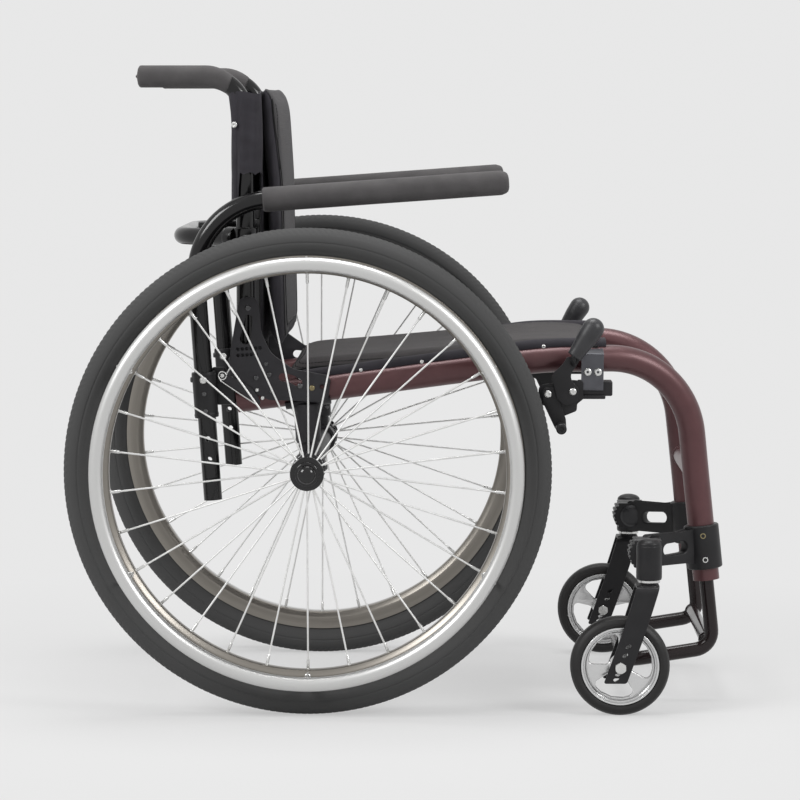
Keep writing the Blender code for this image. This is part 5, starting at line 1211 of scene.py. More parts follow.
    def latch_leaf(self) -> Shell:
        """Leaf of the backrest latch: an eye round its pin and a blade that narrows to a tip."""
        eye, tip = np.array(self.latch_eye), np.array(self.latch_tip)
        along = unit(tip - eye)
        across = np.array((-along[1], along[0]))
        shape = ((0.16, 0.0052), (0.35, 0.0080), (0.65, 0.0100), (0.88, 0.0060), (1.0, 0.0020))
        upper = np.array([eye + (tip - eye) * share + across * width for share, width in shape])
        lower = np.array([tip - across * 0.0020, eye - across * 0.0052])
        turns = math.atan2(across[1], across[0]) + math.pi * (1.0 - np.arange(1, 12) / 12.0)
        back = eye + 0.0058 * np.stack((np.cos(turns), np.sin(turns)), axis=1)[::-1]
        outline = np.concatenate((upper[::-1], back, lower[::-1]))
        return plate(outline, [round_hole(*eye, 0.0031)], 0.0015, 0.0003).shifted(y=self.sign * self.latch_y)

    def latch_wire(self) -> Shell:
        """Spring wire: a coil round the pin and a long leg along the blade's lower edge."""
        turns = np.linspace(0.0, 3.0 * math.pi, 70)
        x, z = self.latch_eye
        coil = np.stack((x + 0.0050 * np.cos(turns), self.latch_y + 0.0020 - 0.00015 * turns,
                         z + 0.0050 * np.sin(turns)), axis=1)
        start = ((-0.0985, 0.2163, 0.4345), (-0.1030, 0.2163, 0.4275))
        leg = ((-0.1140, 0.2155, 0.4218), (-0.1110, 0.2155, 0.4172), (-0.0900, 0.2155, 0.4030),
               (-0.0640, 0.2155, 0.3862))
        path = np.concatenate((start, coil, leg)) * np.array((1.0, self.sign, 1.0))
        return tube(resampled(path, 0.0012), 0.0009, np.array((0.3, 0.2, 1.0)), 10)

    def latch_screw(self) -> Shell:
        """Head of the latch's pin, a stop screw above it and a clamp screw beside it."""
        x, z = self.latch_eye
        return merged(hex_screw(self.at(x, self.latch_y + 0.0006, z), self.out, 0.0028, 0.0018),
                      hex_screw(self.at(-0.1081, 0.2078, 0.4475), self.out, 0.0045, 0.0026),
                      self.on_receiver(0.4195, self.out, 0.0045, 0.0022))

    def build(self, shop: Workshop) -> None:
        """Make and place the side's pieces."""
        dark = self.bracket_screws((-0.0764, 0.5092, 0.0040), (-0.0667, 0.4208, 0.0036),
                                   (-0.0111, 0.4107, 0.0036), (-0.0540, 0.4385, 0.0030),
                                   (-0.0500, 0.4250, 0.0034), (-0.0478, 0.4037, 0.0020))
        bright = self.bracket_screws((-0.0654, 0.4056, 0.0024), (-0.0585, 0.3955, 0.0024))
        self.make(shop, "frame", ("bent_tube", self.tube(), MAROON, "side_frame"),
                  ("rail_bar", self.rail(), SATIN_BLACK, "seat_rail"),
                  ("rail_sleeve", self.sleeve(), SLEEVE_FABRIC),
                  ("rail_screws", self.screws_on_rail(), BRIGHT_STEEL),
                  ("bracket_plate", self.bracket(), DARK_METAL, "back_bracket"),
                  ("bracket_screws", dark, SCREW_METAL), ("edge_screws", bright, BRIGHT_STEEL),
                  ("brassy_screw", self.bracket_screws((0.0040, 0.4082, 0.0036)), BRASSY_STEEL),
                  ("receiver_sleeve", self.receiver(), SATIN_BLACK, "armrest_receiver"),
                  ("collar_screws", self.collar_screws(), SCREW_METAL))
        self.make(shop, "latch", ("latch_leaf", self.latch_leaf(), DARK_METAL, "latch_lever"),
                  ("latch_wire", self.latch_wire(), BRIGHT_STEEL))
        self.make(shop, "frame", ("latch_screw", self.latch_screw(), BRIGHT_STEEL))


def weld_bead(line: Array, radius: float, waves: int) -> Shell:
    """Rippled bead along a closed line round a tube.

    Args:
        line: its points, at even turns round the tube.
        radius: its middle radius, which swells and shrinks by 0.3 mm.
        waves: number of ripples.
    """
    ripple = radius + 0.0003 * np.sin(waves * even_turns(len(line)))
    return swept(line, ring(1.0, 10) * ripple[:, None, None], LEFT, closed=True)


@dataclass
class AxleCarrier:
    """Camber tube across the chair, hung from both seat tubes by clamped stems."""

    camber_radius: float = 0.0159
    camber_end: float = 0.2204
    hub_height: float = 0.306
    saddle_ends: tuple[float, float] = (-0.0320, 0.0250)
    saddle_radii: tuple[float, float] = (0.0212, 0.0174)
    stem_top: tuple[float, float] = (-0.0035, 0.3870)
    cross_radius: float = 0.0125
    cross_height: float = 0.134
    down_radius: float = 0.0172

    def camber_tube(self) -> Shell:
        """Round tube with chamfered ends and an axle sleeve in each."""
        end = self.camber_end
        corners = mirrored(((0.0066, -end), (0.0100, -end), (0.0100, 0.002 - end), (0.0145, 0.002 - end),
                            (self.camber_radius, 0.0035 - end)))
        return turned(corners, (0.0005,) * 8, UP * self.hub_height, LEFT, 64, closed=True)

    def stem(self, sign: float) -> Shell:
        """Stem: a saddle under the seat tube, a wide ribbed socket, a round leg and a ring below."""
        path = frame_path(sign)
        line = np.array([path_at(path, x) for x in np.linspace(*self.saddle_ends, 12)])
        turns = np.radians(np.linspace(-144.0, -36.0, 24))
        outer = np.stack((-np.sin(turns), np.cos(turns)), axis=1)
        radius, bore = self.saddle_radii
        saddle = swept(line, np.concatenate((radius * outer, bore * outer[::-1])), LEFT)
        y = sign * SEAT_TUBE_Y
        top = np.array((self.stem_top[0], y, self.stem_top[1]))
        foot = np.array((0.0, y, self.hub_height))
        length = float(np.linalg.norm(foot - top))
        corners = ((0.0, 0.0), (0.0175, 0.0), (0.0175, 0.0080), (0.0166, 0.0120), (0.0160, 0.0480),
                   (0.0148, 0.0500), (0.0128, 0.0500), (0.0122, length), (0.0, length))
        leg = turned(corners, (0.001, 0.003, 0.003, 0.001, 0.001, 0.0005, 0.001), top, foot - top, 64)
        rib = rounded_block((-0.0015, y + sign * 0.0135, 0.3600), (0.0080, 0.0080, 0.0420), 0.002, 5)
        band_corners = mirrored(((0.0163, -0.0180), (0.0200, -0.0180), (0.0209, -0.0170)))
        band = turned(band_corners, (0.0005,) * 4, foot, LEFT, 64, closed=True)
        return merged(saddle, leg, rib, band)

    def clamp_screws(self, sign: float) -> Shell:
        """Screws through the saddle and the ring."""
        ring_place = np.array((0.0205, sign * SEAT_TUBE_Y, self.hub_height))
        saddle_place = np.array((0.0225, sign * (SEAT_TUBE_Y + 0.0147), 0.3837))
        return merged(hex_screw(ring_place, AHEAD, 0.0040, 0.0022),
                      hex_screw(saddle_place, sign * LEFT, 0.0026, 0.0020))

    def cross_tube(self) -> Shell:
        """Tube between the two down tubes, with a rippled weld bead at each end.

        A bead follows the line where both tubes meet: its distance from the down tube's axis
        is the root of its radius squared less the small tube's offset squared.
        """
        right, left = (down_tube(self.cross_height, sign) for sign in (-1.0, 1.0))
        inset = LEFT * self.cross_radius
        shells = [tube(np.linspace(right + inset, left - inset, 40), self.cross_radius, UP, 48)]
        circle = ring(self.cross_radius, 180)
        reach = np.sqrt(self.down_radius ** 2 - circle[:, 0] ** 2)
        for end, sign in ((right, -1.0), (left, 1.0)):
            line = end + np.stack((circle[:, 0], -sign * reach, circle[:, 1]), axis=1)
            shells.append(weld_bead(line, 0.0020, 36))
        return merged(*shells)

    def build(self, shop: Workshop) -> None:
        """Make and place the carrier's pieces."""
        shop.make("axle_tube", self.camber_tube(), DARK_METAL, "frame", "camber_tube")
        shop.make("cross_tube_welded", self.cross_tube(), MAROON, "frame", "front_cross_tube")
        for side in Side:
            name = side.label
            shop.make(f"{name}_clamp_stem", self.stem(side.value), DARK_METAL, "frame", f"{name}_axle_stem")
            shop.make(f"{name}_stem_screws", self.clamp_screws(side.value), SCREW_METAL, "frame")


def end_spaced(steps: int) -> Array:
    """Shares from 0 to 1 that lie closer together towards both ends."""
    return (1.0 - np.cos(np.linspace(0.0, math.pi, steps))) / 2


@dataclass
class Seat:
    """Thin upholstered sling between the seat rails."""

    ends: tuple[float, float] = (-0.0275, 0.372)
    half_width: float = 0.1975
    side_drop: float = 0.0085
    thickness: tuple[float, float] = (0.0185, 0.0085)
    room: float = 0.003
    front_drop: float = 0.0100
    flat_half: float = 0.160
    sag: float = 0.004
    sag_half: float = 0.176
    swell: float = 0.003
    voxel: float = 0.004
    fill: float = 0.7
    stitch_insets: tuple[float, float] = (0.008, 0.013)

    def level(self, x: Array) -> Array:
        """Height of the rail's top at a distance ahead of the axle."""
        path = frame_path(1.0)
        return np.interp(x, path[:, 0], path[:, 2]) + RAIL_RISE + 0.0040

    def blank(self) -> Shell:
        """Slab that the cloth starts from: a rounded section carried from the rear to the front.

        A section's Y is the half width times a power of the cosine, and its Z is the middle of
        the slab plus half its thickness times the sine; the middle of the chair sags, and the
        sides drop over the rails by a power of the distance past them. The slab leaves room at
        its ends and sides for the swell.
        """
        share = end_spaced(60)
        rear, front = self.ends
        x = rear + self.room + (front - rear - 2 * self.room) * share
        round_end = np.clip((1 - np.abs(2 * share - 1) ** 16) ** 0.5, 0.65, 1.0)
        thick = (self.thickness[0] + (self.thickness[1] - self.thickness[0]) * share ** 0.6) * round_end
        turns = even_turns(96)
        y = (self.half_width - self.room) * powered(np.cos(turns), 0.2)
        sink = self.sag * np.clip(1 - (y / self.sag_half) ** 2, 0.0, 1.0)
        past = (np.abs(y) - self.flat_half) / (self.half_width - 0.0035 - self.flat_half)
        drop = self.side_drop * np.clip(past, 0.0, 1.0) ** 1.6
        bottom = self.level(x) + 0.0008 - self.front_drop * share ** 0.7
        z = bottom[:, None] + thick[:, None] * (0.5 + 0.5 * powered(np.sin(turns), 0.5))
        z = z - (sink + drop) * round_end[:, None]
        return grid_shell(np.stack(np.broadcast_arrays(x[:, None], y[None], z), axis=-1))

    def edge_line(self, axle_x: float, inset: float = 0.0) -> Array:
        """Closed line round the seat's upper edge, at a distance inside it."""
        inset += 0.001
        rear, front = self.ends[0] + inset, self.ends[1] - inset
        wide = self.half_width - inset
        corners = ((0.1, -wide), (front, -wide), (front, wide), (rear, wide), (rear, -wide), (0.0999, -wide))
        flat = resampled(bent(corners, (0.012,) * 4), 0.004)[:-1]
        return np.stack((flat[:, 0] + axle_x, flat[:, 1], self.level(flat[:, 0]) + 0.010), axis=1)

    def build(self, shop: Workshop) -> None:
        """Make the sling, its bound edges and its stitching."""
        pad = shop.make("seat_pad", self.blank(), SEAT_FABRIC, "frame", finished=False)
        puffed(pad, self.swell, self.voxel)
        shop.hand_over(pad, SEAT_FABRIC, "frame", "seat_sling")
        skin = Skin(pad)
        hem = skin.laid(self.edge_line(shop.axle_x), 0.0004) - AHEAD * shop.axle_x
        shop.make("seat_binding", tube(hem, 0.0012, UP, 12, closed=True), THREAD, "frame")
        for word, inset in zip(("outer", "inner"), self.stitch_insets):
            line = skin.laid(self.edge_line(shop.axle_x, inset), 0.0002, UP)
            shop.make(f"seat_stitch_{word}", stitched(line - AHEAD * shop.axle_x, UP), THREAD, "frame")


CLOTH_PRESSURE = 4.0
CLOTH_TENSION = 15.0
CLOTH_FRAMES = 20


def puffed(obj: bpy.types.Object, cap: float, voxel: float) -> None:
    """Swell a padded piece by cloth simulation under air pressure, then smooth it.

    Args:
        obj: the piece, a closed mesh; it keeps its material.
        cap: greatest distance in metres that a point may move.
        voxel: size of the even mesh that the cloth runs on.
    """
    remesh = obj.modifiers.new("even", "REMESH")
    remesh.mode = "VOXEL"
    remesh.voxel_size = voxel
    apply_modifiers(obj)
    start = numbers(obj.data.vertices, "co")
    cloth = obj.modifiers.new("cloth", "CLOTH")
    cloth.settings.use_pressure = True
    cloth.settings.uniform_pressure_force = CLOTH_PRESSURE
    cloth.settings.effector_weights.gravity = 0.0
    cloth.settings.quality = 5
    cloth.settings.tension_stiffness = CLOTH_TENSION
    scene = bpy.context.scene
    for frame in range(1, CLOTH_FRAMES + 1):
        scene.frame_set(frame)
    graph = bpy.context.evaluated_depsgraph_get()
    move = numbers(obj.evaluated_get(graph).to_mesh().vertices, "co") - start
    obj.modifiers.clear()
    scene.frame_set(1)
    size = np.linalg.norm(move, axis=1, keepdims=True)
    move *= np.minimum(1.0, cap / np.maximum(size, 1e-9))
    obj.data.vertices.foreach_set("co", (start + move).ravel())
    smooth = obj.modifiers.new("smooth", "SMOOTH")
    smooth.factor = 0.5
    smooth.iterations = 6
    subdivide = obj.modifiers.new("subdivide", "SUBSURF")
    subdivide.levels = subdivide.render_levels = 1
    apply_modifiers(obj)
    obj.data.shade_smooth()
    flat_map(obj.data)


def flat_map(mesh: bpy.types.Mesh) -> None:
    """Texture map in metres, laid on each face from the side that it faces most.

    A corner's two coordinates are the two of its point's that the face's normal leaves out.
    """
    layer = mesh.uv_layers.get("UVMap") or mesh.uv_layers.new(name="UVMap")
    facing = np.argmax(np.abs(numbers(mesh.polygons, "normal")), axis=1)
    main = np.repeat(facing, numbers(mesh.polygons, "loop_total", 1, int))
    places = numbers(mesh.vertices, "co")[numbers(mesh.loops, "vertex_index", 1, int)]
    first = np.where(main == 0, places[:, 1], places[:, 0])
    second = np.where(main == 2, places[:, 1], places[:, 2])
    layer.uv.foreach_set("vector", np.stack((first, second), axis=1).astype(np.float32).ravel())


class Skin:
    """Finished surface of a piece, on which seams and stitches are laid."""

    def __init__(self, obj: bpy.types.Object) -> None:
        """Keep a search tree of the object's surface."""
        self.tree = BVHTree.FromObject(obj, bpy.context.evaluated_depsgraph_get())

    def laid(self, line: Array, lift: float, drop: Array | None = None, far: float = 0.2) -> Array:
        """A line moved to the surface.

        Args:
            line: its points.
            lift: height above the surface.
            drop: direction from which it falls; without it each point goes to the nearest place.
            far: distance outside from which it falls.
        Returns:
            The points that met the surface, lifted along its normal.
        """
        result = []
        for point in line:
            if drop is None:
                place, normal, _, _ = self.tree.find_nearest(Vector(point))
            else:
                place, normal, _, _ = self.tree.ray_cast(Vector(point + drop * far), Vector(-drop))
            if place is not None:
                result.append(np.array(place + normal * lift))
        return np.array(result)


STITCH_PITCH = 0.0042
THREAD_RADIUS = 0.0005


def stitched(line: Array, normal: Array) -> Shell:
    """Row of short threads along a line, each a small arch that dips at its ends."""
    along = lengths(line)
    arch = normal * THREAD_RADIUS * np.array((-0.9, 0.5, 0.5, -0.9))[:, None]
    shells = []
    for middle in (np.arange(int(along[-1] // STITCH_PITCH)) + 0.5) * STITCH_PITCH:
        where = middle + STITCH_PITCH * np.linspace(-0.36, 0.36, 4)
        points = np.stack([np.interp(where, along, line[:, k]) for k in range(3)], axis=1)
        shells.append(tube(points + arch, THREAD_RADIUS, normal, 5))
    return merged(*shells)


@dataclass
class BackRest:
    """Folding back: two posts with push handles, a bowed bar, the sling and its pad."""

    post_x: float = -0.081
    post_y: float = 0.185
    post_radius: float = 0.0115
    post_wall: float = 0.0018
    post_foot: float = 0.425
    handle_z: float = 0.800
    handle_rear: float = -0.2145
    handle_bend: float = 0.050
    grip_radius: float = 0.014
    grip_lip: float = 0.0118
    grip_cover: float = 38.5
    grip_rear: float = -0.2172
    bar_z: float = 0.597
    bar_radius: float = 0.011
    bar_rear: float = -0.1665
    bar_shoulder: float = 0.128
    sling_fill: float = 0.2
    sling_ends: tuple[float, float] = (0.6765, 0.7800)
    sling_drops: tuple[float, float] = (0.0545, 0.2180)
    sling_thickness: float = 0.0016
    sling_step: float = 0.0022
    pad_half: float = 0.1865
    pad_ends: tuple[float, float] = (0.4500, 0.7935)
    cover_lift: float = 0.0011
    stitch_inset: float = 0.016
    pad_fill: float = 0.8
    swell: float = 0.0035
    voxel: float = 0.005
    stitch_ends: tuple[float, float] = (0.466, 0.770)

    def post_path(self, sign: float) -> Array:
        """Centre line of a post and its push handle."""
        y = sign * self.post_y
        corners = ((self.post_x, y, self.post_foot), (self.post_x, y, self.handle_z),
                   (self.handle_rear, y, self.handle_z))
        return resampled(bent(corners, (self.handle_bend,), 0.05), 0.003)

    def grip(self, sign: float) -> Shell:
        """Foam sleeve of the push handle.

        Its radius falls on a quarter circle at the rear, down to a small nub, and has a lip in
        front, where its end is cut nearly upright: rows there are pushed back below the axis.
        """
        bend = self.handle_bend
        middle = np.array((self.post_x - bend, sign * self.post_y, self.handle_z - bend))
        turns = np.linspace(math.radians(self.grip_cover), 0.0, 14)
        arc = middle + bend * np.stack((np.sin(turns), 0 * turns, np.cos(turns)), axis=1)
        rear = np.array((self.grip_rear, sign * self.post_y, self.handle_z))
        path = resampled(np.concatenate((arc, rear[None])), 0.0015)
        along = lengths(path)
        near = np.clip(along / 0.0022, 0.0, 1.0)
        far = np.clip((along[-1] - along) / 0.0055, 0.0, 1.0)
        lip = self.grip_lip + (self.grip_radius - self.grip_lip) * np.sqrt(1 - (1 - near) ** 2)
        radius = lip * np.sqrt(np.clip(1 - (1 - far) ** 2.2, 0.02, 1.0))
        sleeve = swept(path, ring(1.0, 48) * radius[:, None, None], LEFT)
        shear = np.clip(1.0 - np.repeat(along, 48) / 0.030, 0.0, 1.0)
        sleeve.points[:, 0] -= 0.35 * shear * (sleeve.points[:, 2] - np.repeat(path[:, 2], 48))
        nub_corners = ((0.0, -0.0010), (0.0030, -0.0010), (0.0010, 0.0014), (0.0, 0.0015))
        nub = turned(nub_corners, (0.0004, 0.0004), rear, -AHEAD, 20)
        return merged(sleeve, nub)

    def bar(self) -> Shell:
        """Bowed bar behind the back."""
        start = self.post_x - self.post_radius - 0.002
        corners = ((start, -self.post_y, self.bar_z), (self.bar_rear, -self.bar_shoulder, self.bar_z),
                   (self.bar_rear, self.bar_shoulder, self.bar_z), (start, self.post_y, self.bar_z))
        return tube(resampled(bent(corners, (0.055, 0.055), 0.05), 0.004), self.bar_radius, UP, 48)

    def bar_collar(self, sign: float) -> Shell:
        """Split collar that holds the bar on a post, with a socket round the bar's end."""
        centre = np.array((self.post_x, sign * self.post_y, self.bar_z))
        corners = mirrored(((0.0117, -0.013), (0.0145, -0.013), (0.0155, -0.0115)))
        collar = turned(corners, (0.0006,) * 4, centre, UP, 56, closed=True)
        way = np.array((self.bar_rear - self.post_x, -sign * (self.post_y - self.bar_shoulder), 0.0))
        socket = turned(((0.0, 0.0), (0.0132, 0.0), (0.0132, 0.0120), (0.0125, 0.0135), (0.0112, 0.0135)),
                        (0.001, 0.001, 0.001), centre - AHEAD * 0.0120, way, 48)
        return merged(collar, socket)

    def sling_edge(self) -> Array:
        """Closed line round both posts on which the sling hangs, seen from above."""
        rear, front = -0.0978, -0.0602
        wide = self.post_y + 0.0138
        corners = ((rear, 0.0), (rear, -wide), (front, -wide), (front, wide), (rear, wide), (rear, 0.001))
        return resampled(bent(corners, (0.0125, 0.0115, 0.0115, 0.0125), 0.12), self.sling_step)[:-1]

    def sling(self) -> Shell:
        """Fabric loop round both posts.

        Its lower edge is scalloped at the sides, hangs lower behind and lowest in front, behind
        the pad; towards its top the rear layer leans back with the handle; small folds run down.
        """
        loop = self.sling_edge()
        ways = headings(loop, closed=True)
        out = np.stack((-ways[:, 1], ways[:, 0]), axis=1)
        if out[0, 0] > 0:
            out = -out
        run = np.arange(len(loop)) * self.sling_step
        behind = np.clip((-0.0880 - loop[:, 0]) / 0.0025, 0.0, 1.0)
        before = np.clip((0.1800 - np.abs(loop[:, 1])) / 0.006, 0.0, 1.0) * (loop[:, 0] > -0.070)
        low = (self.sling_ends[0] + 0.0030 * np.abs(np.sin(run * 210)) - behind * self.sling_drops[0]
               - before * self.sling_drops[1])
        high = self.sling_ends[1] + 0.0015 * np.sin(run * 160)
        share = np.linspace(0.0, 1.0, 40)
        z = low[:, None] + (high - low)[:, None] * share
        seam = 0.0014 * np.exp(-(((loop[:, :1] + 0.0905) / 0.0018) ** 2))
        folds = (0.0010 * np.sin(run * 430)[:, None] * np.sin(np.pi * share)
                 + 0.0009 * np.sin(run[:, None] * 170 + 25 * z) - seam)
        lean = 0.0035 * np.clip((z - 0.738) / 0.042, 0.0, 1.0) ** 1.5
        rearward = np.clip((-0.0800 - loop[:, 0]) / 0.015, 0.0, 1.0)[:, None]
        layers = []
        for offset in (0.0, -self.sling_thickness):
            x, y = (loop[:, k:k + 1] + out[:, k:k + 1] * (offset + folds) for k in range(2))
            layers.append(np.stack((x - lean * rearward, y, z), axis=-1))
        return grid_shell(np.concatenate((layers[0], layers[1][:, ::-1]), axis=1), wrap_rows=True)

    def pad_depths(self, z: Array) -> tuple[Array, Array]:
        """Front and rear X of the pad at a height."""
        front = np.interp(z, (0.461, 0.672, 0.745, 0.762, 0.774, 0.783, 0.789, 0.793),
                          (-0.0308, -0.0343, -0.0388, -0.0405, -0.0432, -0.0475, -0.0530, -0.0600))
        rear = np.interp(z, (0.461, 0.667, 0.773, 0.793), (-0.0505, -0.0519, -0.0642, -0.0655))
        return front, rear + 0.010 * np.clip((0.478 - z) / 0.026, 0.0, 1.0) ** 2

    def pad_blank(self) -> Shell:
        """Slab that the pad's cloth starts from.

        A section's Y is the half width times a power of the cosine and its X runs between the
        rear and the front by a power of the sine; both ends are rounded.
        """
        share = end_spaced(64)
        low, high = self.pad_ends
        z = low + 0.004 + (high - low - 0.008) * share
        front, rear = self.pad_depths(z)
        turns = even_turns(112)
        y = (self.pad_half - 0.003) * powered(np.cos(turns), 0.2)
        end = np.clip((1 - np.abs(2 * share - 1) ** 30) ** 0.5, 0.35, 1.0)
        half = ((front - rear) / 2 - 0.0025) * end
        x = ((front + rear) / 2 - 0.001 * end)[:, None] + half[:, None] * powered(np.sin(turns), 0.5)
        return grid_shell(np.stack(np.broadcast_arrays(x, y[None], z[:, None]), axis=-1))

    def cover_edge(self) -> Array:
        """Line (x, z) on the pad's side where the pale front cloth meets the dark side."""
        return bent(((-0.0700, 0.7925), (-0.0570, 0.7845), (-0.0480, 0.7760), (-0.0448, 0.7400),
                     (-0.0365, 0.6723), (-0.0310, 0.4640), (-0.0310, 0.4400)),
                    (0.02, 0.02, 0.05, 0.2, 0.02), 0.1)

    def cover_of(self, pad: bpy.types.Object, axle_x: float) -> bpy.types.Object:
        """Pale front cloth: the pad's surface, lifted off it and cut along the cover's edge."""
        mesh = pad.data.copy()
        mesh.materials.clear()
        mesh.materials.append(BACK_FABRIC.material())
        lifted = numbers(mesh.vertices, "co") + self.cover_lift * numbers(mesh.vertices, "normal")
        mesh.vertices.foreach_set("co", lifted.ravel())
        cover = linked("back_pad_cover", mesh)
        edge = np.concatenate((self.cover_edge(), ((0.03, 0.44), (0.03, 0.82), (-0.0700, 0.82))))
        sides = [np.insert(edge + (axle_x, 0.0), 1, y, axis=1) for y in (-0.25, 0.25)]
        carved(cover, grid_shell(np.stack(sides)), operation="INTERSECT")
        flat_map(cover.data)
        return cover

    def build_pad(self, shop: Workshop) -> None:
        """Pad by cloth simulation, then its pale front cloth, piping and stitches."""
        pad = shop.make("back_pad", self.pad_blank(), SLEEVE_FABRIC, "backrest", finished=False)
        puffed(pad, self.swell, self.voxel)
        cover = self.cover_of(pad, shop.axle_x)
        shop.hand_over(pad, SLEEVE_FABRIC, "backrest", "back_upholstery")
        shop.hand_over(cover, BACK_FABRIC, "backrest")
        seam = resampled(self.cover_edge(), 0.004)
        seam = seam[(seam[:, 1] < 0.772) & (seam[:, 1] > 0.462)] + (shop.axle_x, 0.0)
        z = np.arange(*self.stitch_ends, 0.004)
        surface, front = Skin(pad), Skin(cover)
        for side in Side:
            edge = np.insert(seam, 1, side.value * 0.25, axis=1)
            piping = surface.laid(edge, 0.0010, side.outward, 0.0) - AHEAD * shop.axle_x
            shop.make(f"{side.label}_pad_piping", tube(piping, 0.0011, LEFT, 12), THREAD, "backrest")
            y = side.value * (self.pad_half - self.stitch_inset)
            line = np.stack((np.full(len(z), 0.1), np.full(len(z), y), z), axis=1)
            row = front.laid(line, 0.0002, AHEAD, 0.0) - AHEAD * shop.axle_x
            shop.make(f"{side.label}_pad_stitch", stitched(row, AHEAD), THREAD, "backrest")

    def build(self, shop: Workshop) -> None:
        """Make and place the back's pieces."""
        for side in Side:
            sign = float(side.value)
            post = hollow(self.post_path(sign), self.post_radius, self.post_wall, LEFT, 48)
            screw = hex_screw(np.array((self.post_x, sign * (self.post_y + 0.0150), self.bar_z)), side.outward,
                              0.0042, 0.0024)
            snap = hex_screw(np.array((-0.0935, sign * (self.post_y + 0.0132), 0.7394)),
                             side.outward - 0.45 * AHEAD, 0.0040, 0.0020)
            tab = rounded_block((-0.1365, sign * 0.1560, 0.6120), (0.0120, 0.0100, 0.0080), 0.002)
            word = side.label
            shop.make(f"{word}_post_tube", post, GLOSS_BLACK, "backrest", f"{word}_back_post")
            shop.make(f"{word}_handle_grip", self.grip(sign), FOAM, "backrest", f"{word}_push_grip")
            shop.make(f"{word}_bar_screw", screw, SCREW_METAL, "backrest")
            shop.make(f"{word}_sling_snap", snap, BRIGHT_STEEL, "backrest")
            shop.make(f"{word}_bar_tab", tab, GLOSS_BLACK, "backrest")
        bar = merged(self.bar(), self.bar_collar(-1.0), self.bar_collar(1.0))
        shop.make("bowed_bar", bar, GLOSS_BLACK, "backrest", "stabiliser_bar")
        sling = shop.make("back_sling", self.sling(), SLEEVE_FABRIC, "backrest")
        self.build_pad(shop)


@dataclass
class Armrest(Paired):
    """Swing-away armrest: a bent tube with height holes and a round foam pad."""

    top: float = 0.641
    bend: float = 0.095
    end_x: float = 0.246
    pad_start: float = -0.057
    pad_radius: float = 0.0155
    pad_fill: float = 1.0
    tube_radius: float = 0.0115
    tube_wall: float = 0.0018
    holes: tuple[float, float] = (0.052, 0.078)
    hole_radius: float = 0.0033

    def top_point(self, x: float) -> Array:
        """Point of the upper run's axis at a distance ahead of the axle."""
        return self.at(x, ARM_Y, self.top + (x - ARM_FOOT[0]) * math.tan(ARM_LEAN))

    def path(self) -> Array:
        """Centre line of the tube, up the leaning post and ahead under the pad."""
        head_x = ARM_FOOT[0] - (self.top - ARM_FOOT[1]) * math.tan(ARM_LEAN)
        foot = self.at(ARM_FOOT[0], ARM_Y, ARM_FOOT[1])
        corners = (foot, self.top_point(head_x), self.top_point(self.end_x))
        return resampled(bent(corners, (self.bend,), 0.04), 0.004)

    def pad(self) -> Shell:
        """Foam sleeve with a straight cut rear end and a round front end, its surface slightly uneven."""
        start, end = self.top_point(self.pad_start), self.top_point(self.end_x)
        length = float(np.linalg.norm(end - start))
        radius = self.pad_radius
        corners = ((0.0105, 0.0), (radius - 0.0008, 0.0), (radius, 0.002), (radius, length - 0.004),
                   (radius * 0.80, length + 0.0045), (radius * 0.35, length + 0.0060), (0.0, length + 0.0060))
        profile = resampled(bent(corners, (0.0012, 0.001, 0.008, 0.006, 0.004), 0.15), 0.003)
        dents = 1 + 0.004 * np.sin(3 * even_turns(64) + 1.0)[None] * np.sin(profile[:, 1:] * 55)
        return lobed(profile[:, :1] * dents, profile[:, 1], start, end - start)

    def build(self, shop: Workshop) -> None:
        """Make and place the armrest's pieces."""
        name = self.side.label
        body = f"{name}_armrest"
        shell = hollow(self.path(), self.tube_radius, self.tube_wall, LEFT, 56)
        bar = shop.make(f"{name}_arm_tube", shell, GLOSS_BLACK, body, finished=False)
        holes = []
        for rise in self.holes:
            middle = self.at(ARM_FOOT[0] - rise * math.tan(ARM_LEAN) + shop.axle_x, ARM_Y, ARM_FOOT[1] + rise)
            ends = np.stack((middle - LEFT * 0.03, middle + LEFT * 0.03))
            holes.append(tube(ends, self.hole_radius, UP, 24))
        carved(bar, *holes)
        shop.hand_over(bar, GLOSS_BLACK, body, f"{name}_armrest_tube")
        pad = shop.make(f"{name}_arm_pad", self.pad(), FOAM, body, f"{name}_armrest_pad")


